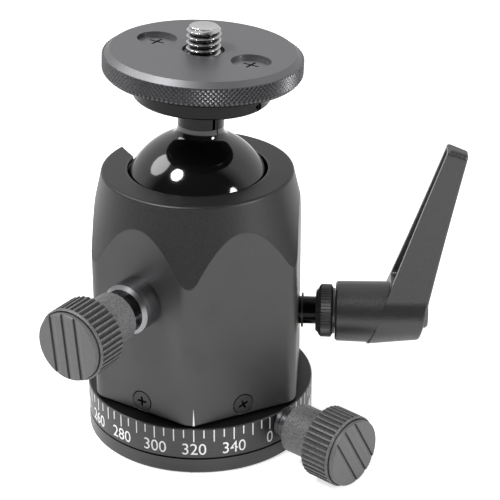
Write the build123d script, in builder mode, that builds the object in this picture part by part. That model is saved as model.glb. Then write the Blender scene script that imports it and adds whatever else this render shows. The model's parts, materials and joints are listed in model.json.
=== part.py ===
from build123d import *

# Tripod ball head, in millimetres. The origin is the centre of the base's lower face, at the
# mouth of the tripod socket, with +Z up. +X runs out along the clamp lever's spindle, so the
# hexagonal housing has its flats square to 0, 60, 120, 180, 240 and 300 degrees about Z.
import os
from math import atan2, cos, radians, sin, sqrt

os.makedirs("parts", exist_ok=True)

# ---- Clearances
running_gap = 0.05  # radial, of a shaft or slide in its hole
still_gap = 0.02  # radial, of a screw or register that doesn't move in its hole
slide_gap = 0.1  # between flat faces that slide over each other
seat_gap = 0.2  # between the ball and its seats
loose_gap = 0.3  # round or behind a piece that is held elsewhere
cut_room = 1.0  # how far a cut runs past the face that it opens

# ---- Pan base
base_radius = 31.0
base_disc_height = 4.4
base_chamfer = 0.6
seam_height = 0.55
seam_depth = 0.8
scale_ring_height = 8.85
scale_ring_wall = 5.75
scale_ring_chamfer = 0.3
socket_radius = 3.97  # 3/8-16 thread, across its crests
socket_depth = 9.0
socket_chamfer = 0.6
hub_radius = 12.0
bearing_washer_thickness = 0.5
spigot_floor = 5.4
spigot_wall = 5.5
retainer_side_gap = 0.53
retainer_thickness = 2.0
retainer_screw_inset = 3.7
retainer_screw_length = 6.5
base_screw_count = 3
base_screw_length = 9.0
base_screw_angle = 30.0

# ---- Housing
seat_wall = 1.5
housing_wall = 5.05  # at the middle of a flat
housing_gap = 0.5
housing_rise = 9.8  # its top over the ball's centre
corner_round = 5.0
rim_wall = 3.35
rim_round = 0.8
arch_drop = 7.4  # from the top to where the turned top runs into the middle of each flat
cusp_reach = 3.7  # of the cusps at the corners, past the flats
cusp_drop = 21.7
cusp_steepness = 3.5  # drop for each unit of reach, from there down
housing_edge = 0.5
lip_reach = 2.75
lip_thickness = 2.2
notch_angle = 120.0
notch_half_width = 12.4
notch_round = 8.0
notch_floor_below_ball = 7.1
housing_screw_rise = 3.2
housing_screw_length = 9.5
housing_screw_turn = 23.0  # of each screw's cross from its neighbour's
screw_ring_gap = 0.35

# ---- Ball, seats and neck
ball_radius = 20.33
ball_rise = 51.5  # of the ball's centre over the housing's lower face
lean_x = 0.0430  # lean of the stem at rest, as its run along X and Y for each unit of rise
lean_y = 0.0197
neck_radius = 6.12
neck_fillet = 3.0
neck_length = 9.47  # from the top of the ball to the flange
neck_stub = 0.8
seat_ring_height = 7.4
seat_lip_thickness = 0.7
cup_drop = 8.5  # from the ball's centre to the cup's top
cup_length = 14.7
cup_hole_radius = 10.0
spring_recess_radius = 15.3
spring_recess_depth = 1.3
disc_spring_thickness = 0.8
stem_bolt_radius = 4.0
stem_bolt_grip = 12.0
sleeve_slit_angle = -52.0
sleeve_slit_width = 0.8
sleeve_slit_depth = 1.2

# ---- Clamp train
spindle_drop = 31.8  # from the ball's centre to the spindle
guide_drop = 8.0  # from the spindle to the guide's lower face
guide_thickness = 2.4
guide_rail_height = 4.6
guide_rail_thickness = 2.9
wedge_half_length = 8.0
wedge_half_width = 8.0
wedge_rise = 6.0  # height of the sloping face over the spindle's axis, at mid length
wedge_slope = 0.14
lifter_radius = 17.0
lifter_height = 4.0
lifter_flange_thickness = 2.2
lifter_channel_half_length = 10.0
thread_radius = 3.0  # M6
shaft_radius = 3.78
spindle_overrun = 1.5  # past the wedge
thrust_collar_radius = 5.5
thrust_collar_thickness = 2.2
bush_radius = 5.2
bush_depth = 5.8
spindle_washer_radius = 4.7
spindle_washer_thickness = 0.5
spindle_washer_stand_off = 0.8

# ---- Clamp lever
collar_stand_off = 4.7
collar_length = 4.7
collar_radius = 6.95
collar_chamfer = 1.5
collar_small_chamfer = 0.6
shoulder_radius = 6.2
shoulder_length = 0.5
hub_start_radius = 8.16
hub_end_radius = 8.6
hub_chamfer = 0.5
spline_teeth = 12
spline_root_radius = 4.1
spline_tooth_height = 0.55
spline_tooth_width = 1.0
spline_length = 3.4
spline_gap = 0.1
insert_length = 14.7
insert_thread_depth = 10.5
lever_web = 2.2
lever_cavity_radius = 4.6
arm_foot_radius = 8.9
arm_neck_rise = 4.0  # of the arm's neck and waist over the spindle, with half their widths
arm_neck_half_width = 7.3
arm_waist_rise = 33.0
arm_waist_half_width = 5.1
arm_rise = 49.3  # of its tip's inner edge over the spindle
arm_tip_overrun = 3.9  # of its sides before the tip is cut square to its length
arm_tip_half_width = 5.6
arm_tip_slope = 0.36
arm_tip_round = 1.6
arm_tip_edge = 0.8
arm_neck_round = 4.0
arm_draft = 6.0
arm_inner_stand_off = 11.5  # from the lever's start, at the height of the spindle
arm_inner_slope = 0.345
arm_outer_stand_off = 24.0
arm_outer_slope = 0.206
arm_edge = 0.8
channel_wall = 1.3
channel_back = 2.4
channel_rise = 8.8
channel_corner = 1.0
lever_screw_radius = 2.0
lever_screw_head_radius = 4.0
lever_screw_head_height = 4.6
lever_screw_stand_out = 1.1
lever_screw_grip = 3.4
head_chamfer = 0.6
spring_wire_radius = 0.35
spring_turns = 5

# ---- Knobs, the same for friction and for pan lock
knob_hub_radius = 6.75
knob_hub_length = 9.5
knob_hub_chamfer = 0.4
knob_head_radius = 9.75
knob_head_length = 9.0
knob_rib_count = 40
knob_rib_depth = 0.6
knob_rib_radius = 0.5
knob_chamfer = 0.4
knob_front_land = 0.65  # before the ribs, at the cap's side
cap_rim = 0.7
cap_gap = 0.2
cap_stand = 1.5  # of the cap, proud of the head
cap_thickness = 2.0
cap_grooves = 3
cap_groove_pitch = 3.85
cap_groove_width = 1.9
cap_groove_depth = 0.4
cap_groove_wall = 0.2  # run of its steep side
cap_chamfer = 0.25
knob_screw_grip = 14.0

# ---- Friction adjustment
friction_angle = -120.0
friction_drop = 18.2  # from the ball's centre to the knob's axis
friction_knob_stand_off = 10.0
friction_collar_radius = 6.9
friction_collar_length = 6.5
friction_collar_slope = 0.8  # length of the sloped ring round its mouth
friction_mouth_radius = 5.85
friction_mouth_depth = 5.0
friction_barrel_radius = 5.0
friction_bush_depth = 4.8
plunger_engagement = 1.7
plunger_length = 7.2
plunger_nose = 4.8
plunger_tip_radius = 1.5
plunger_room = 0.45
friction_groove_turn = 5.6

# ---- Pan lock
pan_lock_angle = -38.5
pan_lock_rise = 5.15  # over the scale ring's lower face
pan_knob_stand_off = 4.4
pan_washer_radius = 4.2
pan_washer_thickness = 1.2
pan_collar_radius = 3.8
pan_groove_turn = 210.0
shoe_length = 1.9

# ---- Camera platform
flange_radius = 17.95
flange_thickness = 6.2
flange_chamfer = 0.5
plate_radius = 25.75
plate_under_inset = 0.25
plate_under_band = 1.0
plate_band = 4.85
plate_bevel_height = 1.6
plate_bevel_width = 1.65
platform_screw_inset = 3.55
platform_screw_angle = 151.8
platform_screw_radius = 2.0
platform_screw_head_radius = 4.45
platform_screw_head_height = 2.2
platform_screw_recess = 1.0
platform_screw_clearance = 0.75
platform_screw_length = 7.4
grub_screw_radius = 1.25  # M2.5
grub_screw_rise = 1.3
grub_screw_angle = -31.8
grub_screw_sink = 0.5
stud_radius = 4.6  # 3/8-16 thread, over its crests
stud_height = 6.4
stud_chamfer = 1.35
stud_grip_radius = 4.2  # of its part that is fixed in the plate
stud_grip_rise = 1.2
stud_ring_depth = 0.9
stud_ring_gap = 0.9

# ---- Small screws
m25_radius = 1.25
m25_head_radius = 2.35
m25_head_height = 1.3
m3_radius = 1.5
m3_head_radius = 2.75
m3_head_height = 1.65
cross_width = 0.62

# ---- Heights that follow from the sizes above
scale_ring_bottom = base_disc_height + seam_height
scale_ring_top = scale_ring_bottom + scale_ring_height
housing_bottom = scale_ring_top + housing_gap
ball_height = housing_bottom + ball_rise
housing_top = ball_height + housing_rise
arch_height = housing_top - arch_drop
cusp_height = housing_top - cusp_drop
lip_bottom = housing_top - lip_thickness
housing_screw_height = housing_bottom + housing_screw_rise
spindle_height = ball_height - spindle_drop
friction_height = ball_height - friction_drop
pan_lock_height = scale_ring_bottom + pan_lock_rise
spigot_bottom = scale_ring_bottom + bearing_washer_thickness
spigot_floor_top = spigot_bottom + spigot_floor
hub_top = spigot_floor_top + slide_gap
register_top = spindle_height - guide_drop
guide_top = register_top + guide_thickness
cup_top = ball_height - cup_drop
cup_bottom = cup_top - cup_length
lifter_top = cup_bottom - slide_gap * 2
lifter_bottom = lifter_top - lifter_height

# ---- Radii and reaches that follow
scale_ring_bore = base_radius - scale_ring_wall
spigot_radius = scale_ring_bore - running_gap
base_screw_circle = (scale_ring_bore + base_radius) / 2
retainer_screw_circle = hub_radius - retainer_screw_inset
seat_radius = ball_radius + seat_gap
register_radius = seat_radius + seat_wall
housing_bore = register_radius + still_gap
spigot_inner_radius = register_radius - spigot_wall
retainer_radius = spigot_inner_radius - retainer_side_gap
apothem = housing_bore + housing_wall
rim_radius = housing_bore + rim_wall
lip_radius = housing_bore - lip_reach
seat_lip_radius = lip_radius - seat_lip_thickness
cusp_radius = apothem + cusp_reach
cap_radius = knob_head_radius - cap_rim
friction_knob_back = apothem + friction_knob_stand_off
pan_knob_back = base_radius + pan_knob_stand_off

# ---- Places along the spindle, from the Z axis
spindle_inner_end = -wedge_half_length - spindle_overrun
bush_inner_end = apothem - bush_depth
spindle_washer_place = apothem + spindle_washer_stand_off
collar_start = apothem + collar_stand_off
collar_end = collar_start + collar_length
shoulder_end = collar_end + shoulder_length
lever_start = shoulder_end + slide_gap
insert_end = collar_start + insert_length
insert_thread_end = collar_start + insert_thread_depth
arm_inner_at_axis = lever_start + arm_inner_stand_off
arm_outer_at_axis = lever_start + arm_outer_stand_off
arm_start = arm_inner_at_axis - arm_inner_slope * arm_foot_radius - cut_room
arm_end = arm_outer_at_axis + arm_outer_slope * arm_rise + cut_room
lever_screw_face = arm_outer_at_axis + lever_screw_stand_out

# ---- Places along the friction knob's axis, from the Z axis
friction_bush_inner_end = apothem - friction_bush_depth
friction_collar_end = apothem + friction_collar_length
plunger_end = friction_bush_inner_end + plunger_engagement
plunger_tip = plunger_end - plunger_length
plunger_shoulder = plunger_tip + plunger_nose

# ---- Places along the stem, from the ball's centre
flange_start = ball_radius + neck_length
plate_start = flange_start + flange_thickness
plate_shoulder = plate_start + plate_band
plate_top = plate_shoulder + plate_bevel_height
plate_under_radius = plate_radius - plate_under_inset
plate_top_radius = plate_radius - plate_bevel_width
platform_screw_circle = flange_radius - platform_screw_inset
stud_root = plate_start + stud_grip_rise
stud_ring_floor = plate_top - stud_ring_depth

# ---- Planes whose local x runs out along an axis, and whose local y is the radius from it
upright = Plane.XZ
spindle_side = Plane(origin=(0, 0, spindle_height), x_dir=(1, 0, 0), z_dir=(0, -1, 0))
spindle_axis = Axis((0, 0, spindle_height), (1, 0, 0))


def side_plane(angle, height):
    """A plane through the Z axis that faces across the given direction."""
    turn = radians(angle)
    return Plane(origin=(0, 0, height), x_dir=(cos(turn), sin(turn), 0), z_dir=(sin(turn), -cos(turn), 0))


def outward_plane(angle, height, reach):
    """A plane square to a direction about Z, at a distance from the Z axis."""
    turn = radians(angle)
    place = (reach * cos(turn), reach * sin(turn), height)
    return Plane(origin=place, x_dir=(-sin(turn), cos(turn), 0), z_dir=(cos(turn), sin(turn), 0))


def outward_axis(angle, height):
    """The axis that runs out from the Z axis in a direction."""
    turn = radians(angle)
    return Axis((0, 0, height), (cos(turn), sin(turn), 0))


# ---- The stem's own frame
ball_centre = Vector(0, 0, ball_height)
stem_line = Vector(lean_x, lean_y, 1).normalized()
stem_right = (Vector(1, 0, 0) - stem_line * stem_line.X).normalized()
stem_axis = Axis(ball_centre, stem_line)
stem_side = Plane(origin=ball_centre, x_dir=stem_right, z_dir=stem_right.cross(stem_line))


def stem_plane(reach):
    """A plane square to the stem, at a distance from the ball's centre."""
    return Plane(origin=ball_centre + stem_line * reach, x_dir=stem_right, z_dir=stem_line)


def turned(plane, angle):
    """The same plane with its x direction turned in it by an angle."""
    turn = radians(angle)
    return Plane(
        origin=plane.origin,
        x_dir=plane.x_dir * cos(turn) + plane.y_dir * sin(turn),
        z_dir=plane.z_dir,
    )


def outline(plane, *corners):
    """A closed straight-sided face on a plane."""
    with BuildSketch(plane) as shape:
        with BuildLine():
            Polyline(*corners, close=True)
        make_face()
    return shape.sketch


def countersunk_screw(side, face_plane, radius, head_radius, head_height, length):
    """A countersunk screw with a cross recess, its face at the side plane's origin."""
    with BuildPart() as screw:
        revolve(
            outline(side, (0, 0), (0, head_radius), (-head_height, radius), (-length, radius), (-length, 0)),
            axis=Axis(side.origin, side.x_dir),
        )
        with BuildSketch(face_plane):
            Rectangle(head_radius, cross_width)
            Rectangle(cross_width, head_radius)
        extrude(amount=-head_height * 0.8, mode=Mode.SUBTRACT)
    return screw.part


def save(piece, name):
    """Label a piece and write it."""
    piece.label = name
    export_step(piece, f"parts/{name}.step")


# ======== Pan base ========

base_screw_side = Plane(
    origin=(base_screw_circle, 0, 0), x_dir=(0, 0, -1), z_dir=(0, -1, 0)
)
base_screw_face = Plane(origin=(base_screw_circle, 0, 0), z_dir=(0, 0, -1))
one_base_screw = countersunk_screw(
    base_screw_side, base_screw_face, m25_radius, m25_head_radius, m25_head_height, base_screw_length
)
base_screw_turns = [base_screw_angle + 360 / base_screw_count * n for n in range(base_screw_count)]

with BuildPart() as base_plate:
    revolve(
        outline(
            upright,
            (0, 0),
            (base_radius - base_chamfer, 0),
            (base_radius, base_chamfer),
            (base_radius, base_disc_height),
            (base_radius - seam_depth, base_disc_height),
            (base_radius - seam_depth, scale_ring_bottom),
            (hub_radius, scale_ring_bottom),
            (hub_radius, hub_top),
            (0, hub_top),
        ),
        axis=Axis.Z,
    )
    revolve(
        outline(
            upright,
            (0, 0),
            (socket_radius + socket_chamfer, 0),
            (socket_radius, socket_chamfer),
            (socket_radius, socket_depth),
            (0, socket_depth),
        ),
        axis=Axis.Z,
        mode=Mode.SUBTRACT,
    )
    with PolarLocations(base_screw_circle, base_screw_count, base_screw_angle):
        Cylinder(
            m25_radius + still_gap,
            scale_ring_bottom,
            align=(Align.CENTER, Align.CENTER, Align.MIN),
            mode=Mode.SUBTRACT,
        )
        Cone(
            m25_head_radius + still_gap,
            m25_radius + still_gap,
            m25_head_height,
            align=(Align.CENTER, Align.CENTER, Align.MIN),
            mode=Mode.SUBTRACT,
        )
    with BuildSketch(Plane.XY.offset(hub_top)):
        with PolarLocations(retainer_screw_circle, base_screw_count, base_screw_angle):
            Circle(m3_radius + still_gap)
    extrude(amount=retainer_thickness - retainer_screw_length, mode=Mode.SUBTRACT)
save(base_plate.part, "base_plate")

with BuildPart() as base_screws:
    for turn in base_screw_turns:
        add(one_base_screw, rotation=(0, 0, turn))
save(base_screws.part, "base_screws")

with BuildPart() as scale_ring:
    revolve(
        outline(
            upright,
            (scale_ring_bore, scale_ring_bottom),
            (base_radius, scale_ring_bottom),
            (base_radius, scale_ring_top - scale_ring_chamfer),
            (base_radius - scale_ring_chamfer, scale_ring_top),
            (scale_ring_bore, scale_ring_top),
        ),
        axis=Axis.Z,
    )
    with BuildSketch(outward_plane(pan_lock_angle, pan_lock_height, 0)):
        Circle(thread_radius + still_gap)
    extrude(amount=base_radius * 2, mode=Mode.SUBTRACT)
    with PolarLocations(base_screw_circle, base_screw_count, base_screw_angle):
        Cylinder(
            m25_radius + still_gap,
            base_screw_length,
            align=(Align.CENTER, Align.CENTER, Align.MIN),
            mode=Mode.SUBTRACT,
        )
save(scale_ring.part, "scale_ring")

with BuildPart() as bearing_washer:
    revolve(
        outline(
            upright,
            (hub_radius + loose_gap, scale_ring_bottom),
            (scale_ring_bore - loose_gap, scale_ring_bottom),
            (scale_ring_bore - loose_gap, spigot_bottom - slide_gap),
            (hub_radius + loose_gap, spigot_bottom - slide_gap),
        ),
        axis=Axis.Z,
    )
save(bearing_washer.part, "bearing_washer")

with BuildPart() as pan_retainer:
    with BuildSketch(Plane.XY.offset(hub_top)):
        Circle(retainer_radius)
    extrude(amount=retainer_thickness)
    with BuildSketch(Plane.XY.offset(hub_top)):
        with PolarLocations(retainer_screw_circle, base_screw_count, base_screw_angle):
            Circle(m3_radius + still_gap)
    extrude(amount=retainer_thickness, mode=Mode.SUBTRACT)
    with PolarLocations(retainer_screw_circle, base_screw_count, base_screw_angle):
        with Locations((0, 0, hub_top + retainer_thickness)):
            Cone(
                m3_radius + still_gap,
                m3_head_radius + still_gap,
                m3_head_height,
                align=(Align.CENTER, Align.CENTER, Align.MAX),
                mode=Mode.SUBTRACT,
            )
save(pan_retainer.part, "pan_retainer")

retainer_top = hub_top + retainer_thickness
one_retainer_screw = countersunk_screw(
    Plane(origin=(retainer_screw_circle, 0, retainer_top), x_dir=(0, 0, 1), z_dir=(0, -1, 0)),
    Plane(origin=(retainer_screw_circle, 0, retainer_top), z_dir=(0, 0, 1)),
    m3_radius,
    m3_head_radius,
    m3_head_height,
    retainer_screw_length,
)
with BuildPart() as retainer_screws:
    for turn in base_screw_turns:
        add(one_retainer_screw, rotation=(0, 0, turn))
save(retainer_screws.part, "retainer_screws")

# ======== Housing and what it holds ========

with BuildPart() as pan_spigot:
    revolve(
        outline(
            upright,
            (hub_radius + running_gap, spigot_bottom),
            (spigot_radius, spigot_bottom),
            (spigot_radius, housing_bottom),
            (register_radius, housing_bottom),
            (register_radius, register_top),
            (spigot_inner_radius, register_top),
            (spigot_inner_radius, spigot_floor_top),
            (hub_radius + running_gap, spigot_floor_top),
        ),
        axis=Axis.Z,
    )
    for flat in range(6):
        with BuildSketch(outward_plane(60 * flat, housing_screw_height, 0)):
            Circle(m3_radius + still_gap)
        extrude(amount=base_radius, mode=Mode.SUBTRACT)
save(pan_spigot.part, "pan_spigot")

# The turned top: an arc through the rim, the top of the arches and the cusps at the corners
housing_reach = apothem / cos(radians(30)) + cut_room
with BuildPart(mode=Mode.PRIVATE) as turned_top:
    with BuildSketch(upright):
        with BuildLine():
            top_arc = ThreePointArc(
                (rim_radius, housing_top),
                (apothem, arch_height),
                (cusp_radius, cusp_height),
            )
            Polyline(
                (cusp_radius, cusp_height),
                (housing_reach, cusp_height - (housing_reach - cusp_radius) * cusp_steepness),
                (housing_reach, housing_bottom),
                (0, housing_bottom),
                (0, housing_top),
                (rim_radius, housing_top),
            )
        make_face()
    revolve(axis=Axis.Z)
    fillet(turned_top.edges().filter_by(GeomType.CIRCLE).group_by(Axis.Z)[-1], rim_round)

with BuildSketch(outward_plane(notch_angle, ball_height, 0)) as notch_outline:
    with Locations((0, -notch_floor_below_ball)):
        Rectangle(notch_half_width * 2, ball_radius * 2, align=(Align.CENTER, Align.MIN))
    fillet(notch_outline.vertices().group_by(Axis.Y)[0], notch_round)

with BuildPart() as housing:
    with BuildSketch(Plane.XY.offset(housing_bottom)):
        RegularPolygon(apothem, 6, major_radius=False, rotation=30)
    extrude(amount=housing_top - housing_bottom)
    fillet(housing.edges().filter_by(Axis.Z), corner_round)
    fillet(housing.faces().sort_by(Axis.Z)[0].edges(), housing_edge)
    add(turned_top.part, mode=Mode.INTERSECT)
    revolve(
        outline(
            upright,
            (0, housing_bottom - cut_room),
            (housing_bore, housing_bottom - cut_room),
            (housing_bore, lip_bottom),
            (lip_radius, lip_bottom),
            (lip_radius, housing_top + cut_room),
            (0, housing_top + cut_room),
        ),
        axis=Axis.Z,
        mode=Mode.SUBTRACT,
    )
    extrude(notch_outline.sketch, amount=base_radius * 2, mode=Mode.SUBTRACT)
    with BuildSketch(outward_plane(0, spindle_height, 0)):
        Circle(bush_radius + still_gap)
    extrude(amount=base_radius * 2, mode=Mode.SUBTRACT)
    with BuildSketch(outward_plane(friction_angle, friction_height, 0)):
        Circle(friction_barrel_radius + still_gap)
    extrude(amount=base_radius * 2, mode=Mode.SUBTRACT)
    for flat in range(6):
        revolve(
            outline(
                side_plane(60 * flat, housing_screw_height),
                (0, 0),
                (0, m3_radius + still_gap),
                (apothem - m3_head_height, m3_radius + still_gap),
                (apothem, m3_head_radius + screw_ring_gap),
                (apothem + cut_room, m3_head_radius + screw_ring_gap),
                (apothem + cut_room, 0),
            ),
            axis=outward_axis(60 * flat, housing_screw_height),
            mode=Mode.SUBTRACT,
        )
save(housing.part, "housing")

with BuildPart() as housing_screws:
    for flat in range(6):
        screw_face = outward_plane(60 * flat, housing_screw_height, apothem)
        add(
            countersunk_screw(
                Plane(origin=screw_face.origin, x_dir=screw_face.z_dir, z_dir=screw_face.x_dir),
                turned(screw_face, housing_screw_turn * flat),
                m3_radius,
                m3_head_radius,
                m3_head_height,
                housing_screw_length,
            )
        )
save(housing_screws.part, "housing_screws")

with BuildPart() as seat_ring:
    revolve(
        outline(
            upright,
            (seat_lip_radius, lip_bottom - seat_ring_height),
            (register_radius, lip_bottom - seat_ring_height),
            (register_radius, lip_bottom),
            (lip_radius - still_gap, lip_bottom),
            (lip_radius - still_gap, housing_top),
            (seat_lip_radius, housing_top),
        ),
        axis=Axis.Z,
    )
    with Locations(ball_centre):
        Sphere(seat_radius, mode=Mode.SUBTRACT)
    extrude(notch_outline.sketch, amount=base_radius * 2, mode=Mode.SUBTRACT)
save(seat_ring.part, "seat_ring")

with BuildPart() as lower_cup:
    revolve(
        outline(
            upright,
            (cup_hole_radius, cup_bottom + spring_recess_depth),
            (spring_recess_radius, cup_bottom + spring_recess_depth),
            (spring_recess_radius, cup_bottom),
            (housing_bore - running_gap, cup_bottom),
            (housing_bore - running_gap, cup_top),
            (cup_hole_radius, cup_top),
        ),
        axis=Axis.Z,
    )
    with Locations(ball_centre):
        Sphere(seat_radius, mode=Mode.SUBTRACT)
    revolve(
        outline(
            side_plane(friction_angle, friction_height),
            (plunger_tip - plunger_room * 2, 0),
            (plunger_tip - plunger_room * 2, plunger_tip_radius + plunger_room),
            (plunger_shoulder, thread_radius + plunger_room),
            (housing_bore + cut_room, thread_radius + plunger_room),
            (housing_bore + cut_room, 0),
        ),
        axis=outward_axis(friction_angle, friction_height),
        mode=Mode.SUBTRACT,
    )
save(lower_cup.part, "lower_cup")

disc_spring_inner = cup_hole_radius + loose_gap
disc_spring_outer = spring_recess_radius - loose_gap
disc_spring_top = cup_bottom + spring_recess_depth - still_gap
disc_spring_bottom = lifter_top + still_gap
with BuildPart() as disc_spring:
    revolve(
        outline(
            upright,
            (disc_spring_inner, disc_spring_top - disc_spring_thickness),
            (disc_spring_outer, disc_spring_bottom),
            (disc_spring_outer, disc_spring_bottom + disc_spring_thickness),
            (disc_spring_inner, disc_spring_top),
        ),
        axis=Axis.Z,
    )
save(disc_spring.part, "disc_spring")

wedge_middle = spindle_height + wedge_rise
channel_roof = wedge_middle + slide_gap
channel_fall = wedge_slope * lifter_channel_half_length
with BuildPart() as wedge_lifter:
    revolve(
        outline(
            upright,
            (0, lifter_bottom),
            (lifter_radius, lifter_bottom),
            (lifter_radius, lifter_top - lifter_flange_thickness),
            (housing_bore - running_gap, lifter_top - lifter_flange_thickness),
            (housing_bore - running_gap, lifter_top),
            (0, lifter_top),
        ),
        axis=Axis.Z,
    )
    extrude(
        outline(
            upright,
            (-lifter_channel_half_length, lifter_bottom - cut_room),
            (lifter_channel_half_length, lifter_bottom - cut_room),
            (lifter_channel_half_length, channel_roof - channel_fall),
            (-lifter_channel_half_length, channel_roof + channel_fall),
        ),
        amount=wedge_half_width + slide_gap,
        both=True,
        mode=Mode.SUBTRACT,
    )
save(wedge_lifter.part, "wedge_lifter")

rail_place = wedge_half_width + slide_gap + guide_rail_thickness / 2
with BuildPart() as wedge_guide:
    with BuildSketch(Plane.XY.offset(register_top)):
        Circle(register_radius)
    extrude(amount=guide_thickness)
    with BuildSketch(Plane.XY.offset(guide_top)):
        with Locations((0, rail_place), (0, -rail_place)):
            Rectangle(wedge_half_length * 3, guide_rail_thickness)
    extrude(amount=guide_rail_height)
save(wedge_guide.part, "wedge_guide")

wedge_end_fall = wedge_slope * wedge_half_length
with BuildPart() as clamp_wedge:
    extrude(
        outline(
            upright,
            (-wedge_half_length, guide_top + slide_gap),
            (wedge_half_length, guide_top + slide_gap),
            (wedge_half_length, wedge_middle - wedge_end_fall),
            (-wedge_half_length, wedge_middle + wedge_end_fall),
        ),
        amount=wedge_half_width,
        both=True,
    )
    with BuildSketch(outward_plane(0, spindle_height, -wedge_half_length)):
        Circle(thread_radius + running_gap)
    extrude(amount=wedge_half_length * 2, mode=Mode.SUBTRACT)
save(clamp_wedge.part, "clamp_wedge")

# ======== Spindle and clamp lever ========

thrust_collar_end = bush_inner_end - slide_gap
spindle_outer_end = collar_start + insert_thread_depth - loose_gap
with BuildPart() as clamp_spindle:
    revolve(
        outline(
            spindle_side,
            (spindle_inner_end, 0),
            (spindle_inner_end, thread_radius),
            (thrust_collar_end - thrust_collar_thickness, thread_radius),
            (thrust_collar_end - thrust_collar_thickness, thrust_collar_radius),
            (thrust_collar_end, thrust_collar_radius),
            (thrust_collar_end, shaft_radius),
            (collar_start, shaft_radius),
            (collar_start, thread_radius),
            (spindle_outer_end, thread_radius),
            (spindle_outer_end, 0),
        ),
        axis=spindle_axis,
    )
save(clamp_spindle.part, "clamp_spindle")

with BuildPart() as spindle_bush:
    revolve(
        outline(
            spindle_side,
            (bush_inner_end, shaft_radius + running_gap),
            (bush_inner_end, bush_radius),
            (apothem, bush_radius),
            (apothem, shaft_radius + running_gap),
        ),
        axis=spindle_axis,
    )
save(spindle_bush.part, "spindle_bush")

with BuildPart() as spindle_washer:
    revolve(
        outline(
            spindle_side,
            (spindle_washer_place, shaft_radius + still_gap),
            (spindle_washer_place, spindle_washer_radius),
            (spindle_washer_place + spindle_washer_thickness, spindle_washer_radius),
            (spindle_washer_place + spindle_washer_thickness, shaft_radius + still_gap),
        ),
        axis=spindle_axis,
    )
save(spindle_washer.part, "spindle_washer")

spline_start = insert_end - spline_length
with BuildPart() as lever_insert:
    revolve(
        outline(
            spindle_side,
            (collar_start, thread_radius + still_gap),
            (collar_start, collar_radius - collar_chamfer),
            (collar_start + collar_chamfer, collar_radius),
            (collar_end - collar_small_chamfer, collar_radius),
            (collar_end, collar_radius - collar_small_chamfer),
            (collar_end, shoulder_radius),
            (shoulder_end, shoulder_radius),
            (shoulder_end, spline_root_radius),
            (insert_end, spline_root_radius),
            (insert_end, lever_screw_radius + still_gap),
            (insert_end - lever_screw_grip, lever_screw_radius + still_gap),
            (insert_end - lever_screw_grip, 0),
            (insert_thread_end, 0),
            (insert_thread_end, thread_radius + still_gap),
        ),
        axis=spindle_axis,
    )
    with BuildSketch(outward_plane(0, spindle_height, spline_start)):
        with PolarLocations(spline_root_radius, spline_teeth):
            Rectangle(spline_tooth_height * 2, spline_tooth_width)
        Circle(lever_screw_radius + still_gap, mode=Mode.SUBTRACT)
    extrude(amount=spline_length)
save(lever_insert.part, "lever_insert")

# The arm is drafted outward along the spindle, and cut by two planes that lean out with its faces
arm_start_plane = outward_plane(0, spindle_height, arm_start)
inner_lean = atan2(arm_inner_slope, 1)
inner_normal = Vector(cos(inner_lean), 0, -sin(inner_lean))
inner_plane = Plane(origin=(arm_inner_at_axis, 0, spindle_height), x_dir=(0, 1, 0), z_dir=inner_normal)
outer_lean = atan2(arm_outer_slope, 1)
outer_normal = Vector(cos(outer_lean), 0, -sin(outer_lean))
outer_plane = Plane(origin=(arm_outer_at_axis, 0, spindle_height), x_dir=(0, 1, 0), z_dir=outer_normal)


tip_lean = atan2(arm_tip_slope, 1)
tip_plane = Plane(
    origin=(arm_inner_at_axis + arm_inner_slope * arm_rise, 0, spindle_height + arm_rise),
    x_dir=(0, 1, 0),
    z_dir=(sin(tip_lean), 0, cos(tip_lean)),
)


def runs_along_spindle(edge):
    """Whether an edge runs more along the spindle than across it."""
    return abs((edge % 0.5).X) > 0.8


def arm_sides(inset):
    """The arm's face from its neck to past its tip, with its sides drawn in."""
    neck = arm_neck_half_width - inset
    waist = arm_waist_half_width - inset
    tip = arm_tip_half_width - inset
    side_end = arm_rise + arm_tip_overrun
    with BuildSketch() as face:
        with BuildLine():
            Line((-neck, arm_neck_rise), (neck, arm_neck_rise))
            ThreePointArc((neck, arm_neck_rise), (waist, arm_waist_rise), (tip, side_end))
            Line((tip, side_end), (-tip, side_end))
            ThreePointArc((-tip, side_end), (-waist, arm_waist_rise), (-neck, arm_neck_rise))
        make_face()
    return face.sketch


with BuildPart() as arm_channel:
    with BuildSketch(arm_start_plane):
        add(arm_sides(channel_wall))
        with Locations((0, channel_rise)):
            below = (Align.CENTER, Align.MAX)
            Rectangle(arm_foot_radius * 2, arm_foot_radius * 2, align=below, mode=Mode.SUBTRACT)
    extrude(amount=arm_end - arm_start, taper=arm_draft)
    split(bisect_by=tip_plane.offset(-channel_wall), keep=Keep.BOTTOM)
    split(bisect_by=outer_plane.offset(-channel_back), keep=Keep.BOTTOM)
    fillet(arm_channel.edges().filter_by(runs_along_spindle), channel_corner)

with BuildPart() as lever_arm:
    with BuildSketch(arm_start_plane) as arm_face:
        add(arm_sides(0))
        Circle(arm_foot_radius)
        fillet(arm_face.vertices().group_by(Axis.Y)[0], arm_neck_round)
    extrude(amount=arm_end - arm_start, taper=arm_draft)
    split(bisect_by=inner_plane, keep=Keep.TOP)
    split(bisect_by=outer_plane, keep=Keep.BOTTOM)
    split(bisect_by=tip_plane, keep=Keep.BOTTOM)
    tip_axis = Axis(tip_plane.origin, tip_plane.z_dir)
    chamfer(lever_arm.faces().sort_by(tip_axis)[-1].edges().sort_by(Axis.X)[0], arm_tip_edge)
    fillet(lever_arm.faces().sort_by(tip_axis)[-1].edges().filter_by(runs_along_spindle), arm_tip_round)
    fillet(lever_arm.faces().sort_by(Axis(outer_plane.origin, outer_normal))[-1].edges(), arm_edge)

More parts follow.
